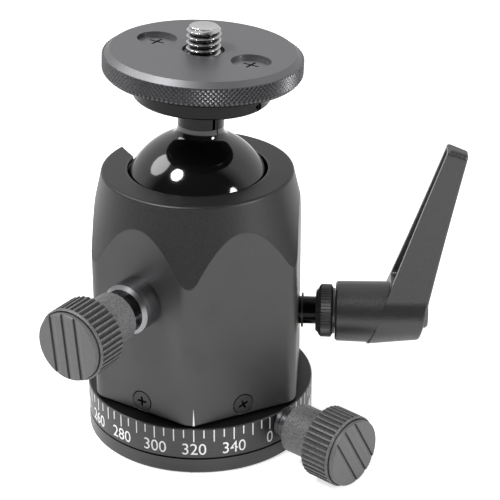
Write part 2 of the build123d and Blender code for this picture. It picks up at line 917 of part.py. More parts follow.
cavity_start = insert_end + loose_gap + lever_web
with BuildPart() as clamp_lever:
    revolve(
        outline(
            spindle_side,
            (lever_start, 0),
            (lever_start, hub_start_radius - hub_chamfer),
            (lever_start + hub_chamfer, hub_start_radius),
            (arm_outer_at_axis, hub_end_radius),
            (arm_outer_at_axis, 0),
        ),
        axis=spindle_axis,
    )
    split(bisect_by=inner_plane, keep=Keep.BOTTOM)
    add(lever_arm.part)
    add(arm_channel.part, mode=Mode.SUBTRACT)
    with BuildSketch(outward_plane(0, spindle_height, lever_start)):
        Circle(spline_root_radius + spline_tooth_height + spline_gap)
    extrude(amount=spline_start - lever_start, mode=Mode.SUBTRACT)
    with BuildSketch(outward_plane(0, spindle_height, spline_start)):
        Circle(spline_root_radius + spline_gap)
        with PolarLocations(spline_root_radius, spline_teeth):
            Rectangle((spline_tooth_height + spline_gap) * 2, spline_tooth_width + spline_gap * 2)
    extrude(amount=spline_length + loose_gap, mode=Mode.SUBTRACT)
    with BuildSketch(outward_plane(0, spindle_height, insert_end)):
        Circle(lever_screw_radius + loose_gap)
    extrude(amount=loose_gap + lever_web, mode=Mode.SUBTRACT)
    with BuildSketch(outward_plane(0, spindle_height, cavity_start)):
        Circle(lever_cavity_radius)
    extrude(amount=base_radius, mode=Mode.SUBTRACT)
save(clamp_lever.part, "clamp_lever")

head_under = lever_screw_face - lever_screw_head_height
with BuildPart() as lever_screw:
    revolve(
        outline(
            spindle_side,
            (insert_end - lever_screw_grip + still_gap, 0),
            (insert_end - lever_screw_grip + still_gap, lever_screw_radius),
            (head_under, lever_screw_radius),
            (head_under, lever_screw_head_radius),
            (lever_screw_face - head_chamfer, lever_screw_head_radius),
            (lever_screw_face, lever_screw_head_radius - head_chamfer),
            (lever_screw_face, 0),
        ),
        axis=spindle_axis,
    )
    with BuildSketch(outward_plane(0, spindle_height, lever_screw_face)):
        RegularPolygon(lever_screw_radius * 0.8, 6)
    extrude(amount=-lever_screw_head_height / 2, mode=Mode.SUBTRACT)
save(lever_screw.part, "lever_screw")

spring_space = head_under - cavity_start
spring_radius = (lever_screw_radius + lever_cavity_radius) / 2
spring_rise = spring_space - spring_wire_radius * 2 - still_gap * 2
with BuildPart() as lever_spring:
    with BuildLine() as coil:
        Helix(
            pitch=spring_rise / spring_turns,
            height=spring_rise,
            radius=spring_radius,
            center=(cavity_start + spring_wire_radius + still_gap, 0, spindle_height),
            direction=(1, 0, 0),
        )
    with BuildSketch(Plane(origin=coil.line @ 0, z_dir=coil.line % 0)):
        Circle(spring_wire_radius)
    sweep(path=coil.line, is_frenet=True)
save(lever_spring.part, "lever_spring")

# ======== Knobs ========


def grip_knob(angle, height, back):
    """A ribbed knob on a round hub, with a blind hole for its screw and a recess for its cap."""
    head_start = back + knob_hub_length
    face = head_start + knob_head_length
    recess_radius = cap_radius + cap_gap
    recess_floor = face + cap_stand - cap_thickness
    hole_end = back + knob_screw_grip
    with BuildPart() as knob:
        revolve(
            outline(
                side_plane(angle, height),
                (back, thread_radius + still_gap),
                (back, knob_hub_radius - knob_hub_chamfer),
                (back + knob_hub_chamfer, knob_hub_radius),
                (head_start, knob_hub_radius),
                (head_start, knob_head_radius - knob_chamfer),
                (head_start + knob_chamfer, knob_head_radius),
                (face - knob_chamfer, knob_head_radius),
                (face, knob_head_radius - knob_chamfer),
                (face, recess_radius),
                (recess_floor, recess_radius),
                (recess_floor, 0),
                (hole_end, 0),
                (hole_end, thread_radius + still_gap),
            ),
            axis=outward_axis(angle, height),
        )
        with BuildSketch(outward_plane(angle, height, head_start)):
            with PolarLocations(knob_head_radius + knob_rib_radius - knob_rib_depth, knob_rib_count):
                Circle(knob_rib_radius)
        extrude(amount=knob_head_length - knob_front_land, mode=Mode.SUBTRACT)
    return knob.part


def knob_cap(angle, height, back, groove_turn):
    """The disc that closes a knob, with straight finger grooves across its face."""
    face = back + knob_hub_length + knob_head_length + cap_stand
    face_plane = turned(outward_plane(angle, height, face), groove_turn)
    groove_plane = Plane(origin=face_plane.origin, x_dir=face_plane.x_dir, z_dir=-face_plane.y_dir)
    with BuildPart() as cap:
        revolve(
            outline(
                side_plane(angle, height),
                (face - cap_thickness, 0),
                (face - cap_thickness, cap_radius),
                (face - cap_chamfer, cap_radius),
                (face, cap_radius - cap_chamfer),
                (face, 0),
            ),
            axis=outward_axis(angle, height),
        )
        with BuildSketch(groove_plane):
            with GridLocations(cap_groove_pitch, 1, cap_grooves, 1):
                Polygon(
                    (-cap_groove_width / 2, cut_room),
                    (-cap_groove_width / 2, 0),
                    (-cap_groove_width / 2 + cap_groove_wall, -cap_groove_depth),
                    (cap_groove_width / 2, 0),
                    (cap_groove_width / 2, cut_room),
                    align=None,
                )
        extrude(amount=cap_radius * 2, both=True, mode=Mode.SUBTRACT)
    return cap.part


def knob_screw(angle, height, inner_end, back):
    """The threaded rod that a knob turns, from its inner end to the end of the knob's hole."""
    with BuildPart() as screw:
        with BuildSketch(outward_plane(angle, height, inner_end)):
            Circle(thread_radius)
        extrude(amount=back + knob_screw_grip - still_gap - inner_end)
    return screw.part


# ---- Friction adjustment
with BuildPart() as friction_bush:
    revolve(
        outline(
            side_plane(friction_angle, friction_height),
            (friction_bush_inner_end, thread_radius + running_gap),
            (friction_bush_inner_end, friction_barrel_radius),
            (apothem, friction_barrel_radius),
            (apothem, friction_collar_radius),
            (friction_collar_end - friction_collar_slope, friction_collar_radius),
            (friction_collar_end, friction_mouth_radius),
            (friction_collar_end - friction_mouth_depth, friction_mouth_radius),
            (friction_collar_end - friction_mouth_depth, thread_radius + running_gap),
        ),
        axis=outward_axis(friction_angle, friction_height),
    )
save(friction_bush.part, "friction_bush")

with BuildPart() as friction_plunger:
    revolve(
        outline(
            side_plane(friction_angle, friction_height),
            (plunger_tip, 0),
            (plunger_tip, plunger_tip_radius),
            (plunger_shoulder, thread_radius),
            (plunger_end, thread_radius),
            (plunger_end, 0),
        ),
        axis=outward_axis(friction_angle, friction_height),
    )
save(friction_plunger.part, "friction_plunger")

friction_screw_start = plunger_end + loose_gap
save(
    knob_screw(friction_angle, friction_height, friction_screw_start, friction_knob_back),
    "friction_screw",
)
save(grip_knob(friction_angle, friction_height, friction_knob_back), "friction_knob")
save(
    knob_cap(friction_angle, friction_height, friction_knob_back, friction_groove_turn),
    "friction_cap",
)

# ---- Pan lock
shoe_start = spigot_radius + loose_gap + slide_gap
shoe_end = shoe_start + shoe_length
with BuildPart() as pan_brake_shoe:
    with BuildSketch(outward_plane(pan_lock_angle, pan_lock_height, shoe_start)):
        Circle(thread_radius + still_gap - running_gap)
    extrude(amount=shoe_length)
save(pan_brake_shoe.part, "pan_brake_shoe")

with BuildPart() as pan_lock_collar:
    revolve(
        outline(
            side_plane(pan_lock_angle, pan_lock_height),
            (base_radius + still_gap, thread_radius + running_gap),
            (base_radius + still_gap, pan_washer_radius),
            (base_radius + pan_washer_thickness, pan_washer_radius),
            (base_radius + pan_washer_thickness, pan_collar_radius),
            (pan_knob_back - slide_gap, pan_collar_radius),
            (pan_knob_back - slide_gap, thread_radius + running_gap),
        ),
        axis=outward_axis(pan_lock_angle, pan_lock_height),
    )
save(pan_lock_collar.part, "pan_lock_collar")

pan_lock_screw_start = shoe_end + loose_gap
save(
    knob_screw(pan_lock_angle, pan_lock_height, pan_lock_screw_start, pan_knob_back),
    "pan_lock_screw",
)
save(grip_knob(pan_lock_angle, pan_lock_height, pan_knob_back), "pan_lock_knob")
save(knob_cap(pan_lock_angle, pan_lock_height, pan_knob_back, pan_groove_turn), "pan_lock_cap")

# ======== Ball, neck and camera platform ========

# The fillet under the neck is tangent to the ball and to the neck
fillet_reach = neck_radius + neck_fillet
fillet_centre = Vector(fillet_reach, sqrt((ball_radius + neck_fillet) ** 2 - fillet_reach**2))
fillet_foot = fillet_centre * (ball_radius / (ball_radius + neck_fillet))
fillet_end = Vector(neck_radius, fillet_centre.Y)
fillet_bisector = ((fillet_centre - fillet_foot).normalized() + Vector(1, 0)).normalized()
fillet_middle = fillet_centre - fillet_bisector * neck_fillet
sleeve_start = fillet_centre.Y + neck_stub
bolt_start = sleeve_start - stem_bolt_grip
bolt_end = plate_start - loose_gap

with BuildPart() as ball:
    with BuildSketch(stem_side):
        with BuildLine():
            ThreePointArc((0, -ball_radius), (ball_radius, 0), fillet_foot)
            ThreePointArc(fillet_foot, fillet_middle, fillet_end)
            Polyline(fillet_end, (neck_radius, sleeve_start), (0, sleeve_start), (0, -ball_radius))
        make_face()
    revolve(axis=stem_axis)
    with BuildSketch(stem_plane(bolt_start - loose_gap)):
        Circle(stem_bolt_radius + running_gap)
    extrude(amount=stem_bolt_grip + loose_gap, mode=Mode.SUBTRACT)
save(ball.part, "ball")

with BuildPart() as stem_bolt:
    with BuildSketch(stem_plane(bolt_start)):
        Circle(stem_bolt_radius)
    extrude(amount=bolt_end - bolt_start)
save(stem_bolt.part, "stem_bolt")

with BuildPart() as neck_sleeve:
    with BuildSketch(stem_plane(sleeve_start + slide_gap)):
        Circle(neck_radius)
        Circle(stem_bolt_radius + still_gap, mode=Mode.SUBTRACT)
        with PolarLocations(neck_radius, 1, sleeve_slit_angle):
            Rectangle(sleeve_slit_depth * 2, sleeve_slit_width, mode=Mode.SUBTRACT)
    extrude(amount=flange_start - sleeve_start - slide_gap)
save(neck_sleeve.part, "neck_sleeve")

grub_screw_place = flange_start + grub_screw_rise
grub_line = turned(stem_plane(grub_screw_place), grub_screw_angle).x_dir
grub_face = ball_centre + stem_line * grub_screw_place + grub_line * flange_radius
grub_plane = Plane(origin=grub_face, z_dir=grub_line)
screw_seat = plate_top - platform_screw_recess

with BuildPart() as platform_flange:
    revolve(
        outline(
            stem_side,
            (stem_bolt_radius + still_gap, flange_start),
            (flange_radius - flange_chamfer, flange_start),
            (flange_radius, flange_start + flange_chamfer),
            (flange_radius, plate_start),
            (stem_bolt_radius + still_gap, plate_start),
        ),
        axis=stem_axis,
    )
    with BuildSketch(stem_plane(plate_start)):
        with PolarLocations(platform_screw_circle, 2, platform_screw_angle):
            Circle(platform_screw_radius + still_gap)
    extrude(amount=screw_seat - platform_screw_length - loose_gap - plate_start, mode=Mode.SUBTRACT)
    with BuildSketch(grub_plane):
        Circle(grub_screw_radius + still_gap)
    extrude(amount=-(flange_radius - stem_bolt_radius), mode=Mode.SUBTRACT)
save(platform_flange.part, "platform_flange")

with BuildPart() as flange_grub_screw:
    with BuildSketch(grub_plane.offset(-grub_screw_sink)):
        Circle(grub_screw_radius)
    extrude(amount=-(flange_radius - stem_bolt_radius - grub_screw_sink - still_gap))
    with BuildSketch(grub_plane.offset(-grub_screw_sink)):
        RegularPolygon(grub_screw_radius * 0.5, 6)
    extrude(amount=-grub_screw_radius, mode=Mode.SUBTRACT)
save(flange_grub_screw.part, "flange_grub_screw")

with BuildPart() as camera_plate:
    revolve(
        outline(
            stem_side,
            (0, plate_start),
            (plate_under_radius - flange_chamfer, plate_start),
            (plate_under_radius, plate_start + flange_chamfer),
            (plate_under_radius, plate_start + plate_under_band),
            (plate_radius, plate_start + plate_under_band + plate_radius - plate_under_radius),
            (plate_radius, plate_shoulder),
            (plate_top_radius, plate_top),
            (0, plate_top),
        ),
        axis=stem_axis,
    )
    revolve(
        outline(
            stem_side,
            (0, stud_root - still_gap),
            (stud_grip_radius + still_gap, stud_root - still_gap),
            (stud_grip_radius + still_gap, stud_ring_floor),
            (stud_radius + stud_ring_gap, stud_ring_floor),
            (stud_radius + stud_ring_gap, plate_top),
            (0, plate_top),
        ),
        axis=stem_axis,
        mode=Mode.SUBTRACT,
    )
    with BuildSketch(stem_plane(plate_top)):
        with PolarLocations(platform_screw_circle, 2, platform_screw_angle):
            Circle(platform_screw_head_radius + platform_screw_clearance)
    extrude(amount=-platform_screw_recess, mode=Mode.SUBTRACT)
    with BuildSketch(stem_plane(plate_start)):
        with PolarLocations(platform_screw_circle, 2, platform_screw_angle):
            Circle(platform_screw_radius + still_gap)
    extrude(amount=plate_top - plate_start, mode=Mode.SUBTRACT)
    with Locations(stem_plane(screw_seat)):
        with PolarLocations(platform_screw_circle, 2, platform_screw_angle):
            Cone(
                platform_screw_radius + still_gap,
                platform_screw_head_radius + still_gap,
                platform_screw_head_height,
                align=(Align.CENTER, Align.CENTER, Align.MAX),
                mode=Mode.SUBTRACT,
            )
save(camera_plate.part, "camera_plate")

with BuildPart() as platform_screws:
    for turn in (platform_screw_angle, platform_screw_angle + 180):
        seat_plane = turned(stem_plane(screw_seat), turn)
        head_plane = Plane(
            origin=seat_plane.origin + seat_plane.x_dir * platform_screw_circle,
            x_dir=seat_plane.x_dir,
            z_dir=stem_line,
        )
        side = Plane(origin=head_plane.origin, x_dir=stem_line, z_dir=stem_line.cross(head_plane.x_dir))
        add(
            countersunk_screw(
                side,
                head_plane,
                platform_screw_radius,
                platform_screw_head_radius,
                platform_screw_head_height,
                platform_screw_length,
            )
        )
save(platform_screws.part, "platform_screws")

with BuildPart() as camera_stud:
    revolve(
        outline(
            stem_side,
            (0, stud_root),
            (stud_grip_radius, stud_root),
            (stud_grip_radius, stud_ring_floor + still_gap),
            (stud_radius, stud_ring_floor + still_gap),
            (stud_radius, plate_top + stud_height - stud_chamfer),
            (stud_radius - stud_chamfer, plate_top + stud_height),
            (0, plate_top + stud_height),
        ),
        axis=stem_axis,
    )
save(camera_stud.part, "camera_stud")
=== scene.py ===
import json
import math

import bpy
from bpy.props import FloatProperty, FloatVectorProperty, IntProperty, PointerProperty, StringProperty
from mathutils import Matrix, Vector


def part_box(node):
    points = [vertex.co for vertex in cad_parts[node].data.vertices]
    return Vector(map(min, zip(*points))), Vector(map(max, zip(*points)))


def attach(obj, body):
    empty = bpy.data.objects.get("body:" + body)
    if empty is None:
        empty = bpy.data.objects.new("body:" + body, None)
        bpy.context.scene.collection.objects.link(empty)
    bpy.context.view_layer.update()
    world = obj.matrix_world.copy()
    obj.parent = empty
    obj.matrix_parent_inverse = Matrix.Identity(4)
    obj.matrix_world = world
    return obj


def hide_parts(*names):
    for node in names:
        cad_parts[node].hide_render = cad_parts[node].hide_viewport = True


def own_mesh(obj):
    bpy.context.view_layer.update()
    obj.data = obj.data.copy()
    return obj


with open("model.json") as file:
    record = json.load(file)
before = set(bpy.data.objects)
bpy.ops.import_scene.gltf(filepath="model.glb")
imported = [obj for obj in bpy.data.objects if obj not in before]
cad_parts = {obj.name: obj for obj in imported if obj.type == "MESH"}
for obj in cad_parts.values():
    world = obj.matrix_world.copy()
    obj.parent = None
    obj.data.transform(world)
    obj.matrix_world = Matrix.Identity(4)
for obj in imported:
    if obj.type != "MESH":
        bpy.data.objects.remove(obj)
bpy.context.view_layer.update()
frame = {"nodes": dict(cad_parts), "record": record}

bl_info = {
    "name": "Tripod ball head",
    "version": (1, 0, 0),
    "blender": (4, 5, 0),
    "location": "3D View > Sidebar > Ball head",
    "description": "Finishes a tripod ball head: knurls, stud thread, degree scale, coatings and studio",
    "category": "Object",
}

MM = 0.001
JOINTS = {joint["name"]: joint for joint in frame["record"]["behaviour"]["joints"]}
BALL_CENTRE = Vector(JOINTS["ball_tilt"]["pos_m"])
STEM_LINE = Vector(JOINTS["ball_turn"]["axis"]).normalized()
SPINDLE_CENTRE = Vector(JOINTS["lever_turn"]["pos_m"])
RING_HIGH = Vector(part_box("scale_ring")[1])
HOUSING_LOW, HOUSING_HIGH = (Vector(corner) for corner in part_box("housing"))
# how far the fill of an engraved mark stands out of its face, and how far it reaches in
MARK_PROUD = 0.012 * MM
MARK_DEPTH = 0.1 * MM


# ---- Sizes and colours that a user would change


class BALLHEAD_PG_housing(bpy.types.PropertyGroup):
    rim_radius: FloatProperty(
        name="Rim radius", description="Radius of the turned top at its rim", default=25.4 * MM,
        unit="LENGTH",
    )
    rim_height: FloatProperty(
        name="Rim height", description="Height of the housing's rim", default=HOUSING_HIGH.z,
        unit="LENGTH",
    )
    flat_reach: FloatProperty(
        name="Flat reach", description="Distance of each flat from the pan axis", default=HOUSING_HIGH.x,
        unit="LENGTH",
    )
    arch_height: FloatProperty(
        name="Arch height", description="Height where the turned top meets the middle of a flat",
        default=68.2 * MM, unit="LENGTH",
    )
    cusp_radius: FloatProperty(
        name="Cusp radius", description="Radius of the turned top at the corners", default=30.8 * MM,
        unit="LENGTH",
    )
    cusp_height: FloatProperty(
        name="Cusp height", description="Height of the turned top's cusps", default=53.9 * MM,
        unit="LENGTH",
    )
    corner_round: FloatProperty(
        name="Corner round", description="Radius of the rounded corners", default=5.0 * MM, unit="LENGTH"
    )


class BALLHEAD_PG_platform(bpy.types.PropertyGroup):
    knurl_radius: FloatProperty(
        name="Knurl radius", description="Radius over the diamond knurl's points", default=26.12 * MM,
        unit="LENGTH",
    )
    knurl_depth: FloatProperty(
        name="Knurl depth", description="Depth of the diamond knurl's grooves", default=0.34 * MM,
        unit="LENGTH",
    )
    knurl_count: IntProperty(
        name="Knurl diamonds", description="Diamonds round the camera plate's edge", default=126, min=12
    )
    knurl_low: FloatProperty(
        name="Knurl start", description="Lower end of the knurl, from the ball's centre along the stem",
        default=36.6 * MM, unit="LENGTH",
    )
    knurl_high: FloatProperty(
        name="Knurl end", description="Upper end of the knurl, from the ball's centre along the stem",
        default=41.1 * MM, unit="LENGTH",
    )
    # where the painted shade on the plate's lower edge begins, from the ball's centre along the stem
    dark_below: FloatProperty(
        name="Dark edge",
        description="The plate is darker below this, from the ball's centre along the stem",
        default=37.3 * MM, unit="LENGTH",
    )
    knurl_rounding: FloatProperty(
        name="Knurl rounding", description="Length over which the knurl's lower edge is rounded in",
        default=0.7 * MM, unit="LENGTH",
    )
    stud_radius: FloatProperty(
        name="Stud radius", description="Radius over the camera stud's thread crests", default=4.5 * MM,
        unit="LENGTH",
    )
    stud_pitch: FloatProperty(
        name="Thread pitch", description="Pitch of the 3/8-16 camera thread", default=25.4 / 16 * MM,
        unit="LENGTH",
    )
    stud_low: FloatProperty(
        name="Stud start", description="Lower end of the stud, from the ball's centre along the stem",
        default=37.2 * MM, unit="LENGTH",
    )
    stud_high: FloatProperty(
        name="Stud end", description="Upper end of the stud, from the ball's centre along the stem",
        default=48.85 * MM, unit="LENGTH",
    )
    stud_chamfer: FloatProperty(
        name="Stud chamfer", description="Chamfer round the stud's end", default=0.9 * MM, unit="LENGTH"
    )


class BALLHEAD_PG_collar(bpy.types.PropertyGroup):
    radius: FloatProperty(
        name="Collar radius", description="Radius over the ridges of the lever's collar",
        default=7.2 * MM, unit="LENGTH",
    )
    depth: FloatProperty(
        name="Ridge depth", description="Depth of the straight knurl", default=0.24 * MM, unit="LENGTH"
    )
    ridges: IntProperty(name="Ridges", description="Ridges round the collar", default=52, min=8)
    start: FloatProperty(
        name="Collar start", description="Near end of the collar along the spindle", default=31.8 * MM,
        unit="LENGTH",
    )
    length: FloatProperty(
        name="Collar length", description="Length of the collar", default=4.7 * MM, unit="LENGTH"
    )
    near_chamfer: FloatProperty(
        name="Near chamfer", description="Chamfer at the housing's side", default=1.5 * MM, unit="LENGTH"
    )
    far_chamfer: FloatProperty(
        name="Far chamfer", description="Chamfer at the lever's side", default=0.6 * MM, unit="LENGTH"
    )


class BALLHEAD_PG_spring(bpy.types.PropertyGroup):
    wire_radius: FloatProperty(
        name="Wire radius", description="Radius of the lever spring's wire", default=0.35 * MM,
        unit="LENGTH",
    )
    turns: IntProperty(name="Turns", description="Turns of the lever spring", default=5, min=1)


class BALLHEAD_PG_scale(bpy.types.PropertyGroup):
    zero_angle: FloatProperty(
        name="Index angle", description="Direction of the index line about the pan axis",
        default=math.radians(-88.4),
        subtype="ANGLE",
    )
    shown_degrees: IntProperty(
        name="Shown degrees", description="Scale reading under the index line at rest", default=320,
        min=0, max=359,
    )
    long_tick: FloatProperty(
        name="Long tick", description="Length of the ten-degree ticks", default=3.6 * MM, unit="LENGTH"
    )
    short_tick: FloatProperty(
        name="Short tick", description="Length of the five-degree ticks", default=2.45 * MM,
        unit="LENGTH",
    )
    tick_width: FloatProperty(
        name="Tick width", description="Width of the engraved ticks", default=0.3 * MM, unit="LENGTH"
    )
    numeral_height: FloatProperty(
        name="Numeral height", description="Height of the engraved numerals", default=3.55 * MM,
        unit="LENGTH",
    )
    numeral_foot: FloatProperty(
        name="Numeral foot", description="Height of the numerals' feet over the base", default=5.95 * MM,
        unit="LENGTH",
    )
    index_length: FloatProperty(
        name="Index length", description="Length of the index line on the housing", default=5.0 * MM,
        unit="LENGTH",
    )


class BALLHEAD_PG_colours(bpy.types.PropertyGroup):
    housing: StringProperty(
        name="Housing", description="Dyed colour of the blasted housing, sRGB hex", default="#3f3f40",
    )
    turned: StringProperty(
        name="Turned top", description="Dyed colour of the housing's turned top, sRGB hex",
        default="#2d2d2e",
    )
    base: StringProperty(
        name="Base", description="Dyed colour of the turned base, sRGB hex", default="#424243",
    )
    plate: StringProperty(
        name="Camera plate", description="Dyed colour of the plate, sRGB hex", default="#666668",
    )
    ball: StringProperty(
        name="Ball", description="Colour of the polished ball, sRGB hex", default="#070708",
    )
    lever: StringProperty(
        name="Lever", description="Colour of the lever's powder coat, sRGB hex", default="#1d1d1e",
    )
    knob: StringProperty(
        name="Knobs", description="Colour of the moulded knobs, sRGB hex", default="#5a5a5b",
    )
    marks: StringProperty(
        name="Marks", description="Colour of the fill in the engraved marks, sRGB hex",
        default="#ffffff",
    )


class BALLHEAD_PG_studio(bpy.types.PropertyGroup):
    camera_place: FloatVectorProperty(
        name="Camera place", description="Where the camera stands", default=(0.04170, -0.45545, 0.27570),
        subtype="TRANSLATION",
    )
    camera_target: FloatVectorProperty(
        name="Camera target", description="What the camera looks at",
        default=(0.01379, 0.00084, 0.05124),
        subtype="TRANSLATION",
    )
    lens: FloatProperty(
        name="Lens", description="Focal length on a 36 mm wide frame, in mm", default=136.14,
    )
    key_power: FloatProperty(
        name="Key light", description="Power of the large soft key light", default=8.0, unit="POWER",
    )
    side_power: FloatProperty(
        name="Side light", description="Power of the low side light", default=4.6, unit="POWER",
    )
    top_power: FloatProperty(
        name="Top light", description="Power of the overhead light", default=3.6, unit="POWER",
    )


# ---- Small helpers


def linear(hex_colour):
    """An sRGB hex colour as linear red, green, blue and alpha."""
    values = [int(hex_colour[i : i + 2], 16) / 255 for i in (1, 3, 5)]
    return [v / 12.92 if v <= 0.04045 else ((v + 0.055) / 1.055) ** 2.4 for v in values] + [1.0]


def add_node(tree, kind, inputs=None, to=None, **settings):
    """Adds a node with its settings and links. An input is a number, a colour or another node's output."""
    node = tree.nodes.new(kind)
    for name, value in settings.items():
        setattr(node, name, value)
    for name, value in (inputs or {}).items():
        if isinstance(value, bpy.types.NodeSocket):
            tree.links.new(value, node.inputs[name])
        else:
            node.inputs[name].default_value = value
    if to:
        tree.links.new(node.outputs[0], to)
    return node


def new_finish(name, colour, metallic, roughness):
    """A new material, its node tree, its shader and its surface point in the part's frame."""
    material = bpy.data.materials.new(name)
    material.use_nodes = True
    tree = material.node_tree
    shader = tree.nodes["Principled BSDF"]
    shader.inputs["Base Color"].default_value = linear(colour)
    shader.inputs["Metallic"].default_value = metallic
    shader.inputs["Roughness"].default_value = roughness
    material.diffuse_color = linear(colour)
    return material, tree, shader, add_node(tree, "ShaderNodeTexCoord").outputs["Object"]


def shade(hex_colour, factor):
    """The same grey, lighter or darker."""
    values = [min(255, max(0, round(int(hex_colour[i : i + 2], 16) * factor))) for i in (1, 3, 5)]
    return "#%02x%02x%02x" % tuple(values)


def turning_lines(tree, place, point, line, pitch):
    """Lathe lines round an axis: noise that changes only along the axis and out from it."""
    shifted = add_node(
        tree, "ShaderNodeVectorMath", {0: place, 1: point}, operation="SUBTRACT",
    ).outputs["Vector"]
    along = add_node(
        tree, "ShaderNodeVectorMath", {0: shifted, 1: line}, operation="DOT_PRODUCT",
    ).outputs["Value"]
    cross = add_node(
        tree, "ShaderNodeVectorMath", {0: shifted, 1: line}, operation="CROSS_PRODUCT",
    ).outputs["Vector"]
    out = add_node(tree, "ShaderNodeVectorMath", {0: cross}, operation="LENGTH").outputs["Value"]
    both = add_node(tree, "ShaderNodeCombineXYZ", {"X": along, "Y": out}).outputs["Vector"]
    return add_node(
        tree, "ShaderNodeTexNoise", {"Vector": both, "Scale": 1 / pitch, "Detail": 3.0, "Roughness": 0.7}
    ).outputs["Fac"]


def mesh_piece(name, vertices, faces, material, body, smooth=True):
    """A new mesh piece that rides on a body."""
    mesh = bpy.data.meshes.new(name)
    mesh.from_pydata(vertices, [], faces)
    mesh.validate()
    mesh.update()
    if smooth:
        mesh.polygons.foreach_set("use_smooth", [True] * len(mesh.polygons))
    piece = bpy.data.objects.new(name, mesh)
    bpy.context.scene.collection.objects.link(piece)
    piece.data.materials.append(material)
    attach(piece, body)
    return piece


def stem_point(out, angle, along):
    """A point from its radius, angle and distance along the stem from the ball's centre."""
    right = (Vector((1, 0, 0)) - STEM_LINE * STEM_LINE.x).normalized()
    front = STEM_LINE.cross(right)
    return BALL_CENTRE + STEM_LINE * along + (right * math.cos(angle) + front * math.sin(angle)) * out


def ring_faces(columns, rows):
    """Quads of a closed band of rows by columns of points."""
    faces = []
    for row in range(rows - 1):
        for column in range(columns):
            after = (column + 1) % columns
            low, high = row * columns, (row + 1) * columns
            faces.append((low + column, low + after, high + after, high + column))
    return faces


def arc_centre(first, second, third):
    """The centre of the circle through three points of a plane."""
    chord, other = second - first, third - first
    cross = 2 * (chord.x * other.y - chord.y * other.x)
    long, wide = chord.length_squared, other.length_squared
    return first + Vector((other.y * long - chord.y * wide, chord.x * wide - other.x * long)) / cross


def saw(value):
    """A wave of one, from 1 at whole numbers to 0 half way between them."""
    return abs(value - math.floor(value) - 0.5) * 2


def paint(node, material):
    """Gives a node of the solid model its finish."""
    data = frame["nodes"][node].data
    if not data.materials:
        data.materials.append(material)
    for index in range(len(data.materials)):
        data.materials[index] = material


# ---- Finishes


def blasted_anodised_aluminium(colour, turned_colour, centre, radius, all_turned_over):
    """Bead-blasted and dark anodised: a satin grey with a fine sparkle, darker where the top was turned."""
    material, tree, shader, place = new_finish(
        "blasted_anodised_aluminium", colour, metallic=0.6, roughness=0.4
    )
    # the turned top is each point on the arc round centre, in a plane of distance out and height, and
    # everything over the arches
    flat = add_node(
        tree, "ShaderNodeVectorMath", {0: place, 1: (1, 1, 0)}, operation="MULTIPLY",
    ).outputs["Vector"]
    out = add_node(tree, "ShaderNodeVectorMath", {0: flat}, operation="LENGTH").outputs["Value"]
    height = add_node(tree, "ShaderNodeSeparateXYZ", {"Vector": place}).outputs["Z"]
    spot = add_node(tree, "ShaderNodeCombineXYZ", {"X": out, "Y": height}).outputs["Vector"]
    reach = add_node(
        tree, "ShaderNodeVectorMath", {0: spot, 1: (centre.x, centre.y, 0)}, operation="DISTANCE"
    ).outputs["Value"]
    off = add_node(tree, "ShaderNodeMath", {0: reach, 1: radius}, operation="SUBTRACT").outputs["Value"]
    off = add_node(tree, "ShaderNodeMath", {0: off}, operation="ABSOLUTE").outputs["Value"]
    # on the arc up to 0.04 mm from it, and off it from 0.1 mm
    on_arc = add_node(
        tree, "ShaderNodeMapRange",
        {"Value": off, "From Min": 0.04 * MM, "From Max": 0.1 * MM, "To Min": 1.0, "To Max": 0.0},
    ).outputs["Result"]
    on_top = add_node(
        tree, "ShaderNodeMath", {0: height, 1: all_turned_over}, operation="GREATER_THAN",
    ).outputs["Value"]
    turned = add_node(
        tree, "ShaderNodeMath", {0: on_arc, 1: on_top}, operation="MAXIMUM",
    ).outputs["Value"]
    # blasting grain of 0.1 mm, drawn at 0.3 mm so that it shows
    grain = add_node(
        tree, "ShaderNodeTexNoise", {"Vector": place, "Scale": 1 / (0.3 * MM), "Detail": 4.0},
    ).outputs["Fac"]
    # the dye takes a little unevenly, in clouds of about 8 mm
    cloud = add_node(
        tree, "ShaderNodeTexNoise", {"Vector": place, "Scale": 1 / (8 * MM), "Detail": 2.0},
    ).outputs["Fac"]
    both = add_node(tree, "ShaderNodeMath", {0: grain, 1: cloud}, operation="ADD").outputs["Value"]
    blasted = add_node(
        tree, "ShaderNodeMix",
        {"Factor": both, 6: linear(shade(colour, 0.8)), 7: linear(shade(colour, 1.1))}, data_type="RGBA",
    )
    cut = add_node(
        tree, "ShaderNodeMix",
        {"Factor": grain, 6: linear(shade(turned_colour, 0.6)), 7: linear(shade(turned_colour, 1.4))},
        data_type="RGBA",
    )
    tint = add_node(
        tree, "ShaderNodeMix", {"Factor": turned, 6: blasted.outputs[2], 7: cut.outputs[2]},
        data_type="RGBA",
    )
    tree.links.new(tint.outputs[2], shader.inputs["Base Color"])
    add_node(
        tree, "ShaderNodeMapRange", {"Value": grain, "To Min": 0.34, "To Max": 0.5},
        to=shader.inputs["Roughness"],
    )
    add_node(
        tree, "ShaderNodeBump", {"Height": grain, "Distance": 0.012 * MM}, to=shader.inputs["Normal"],
    )
    return material


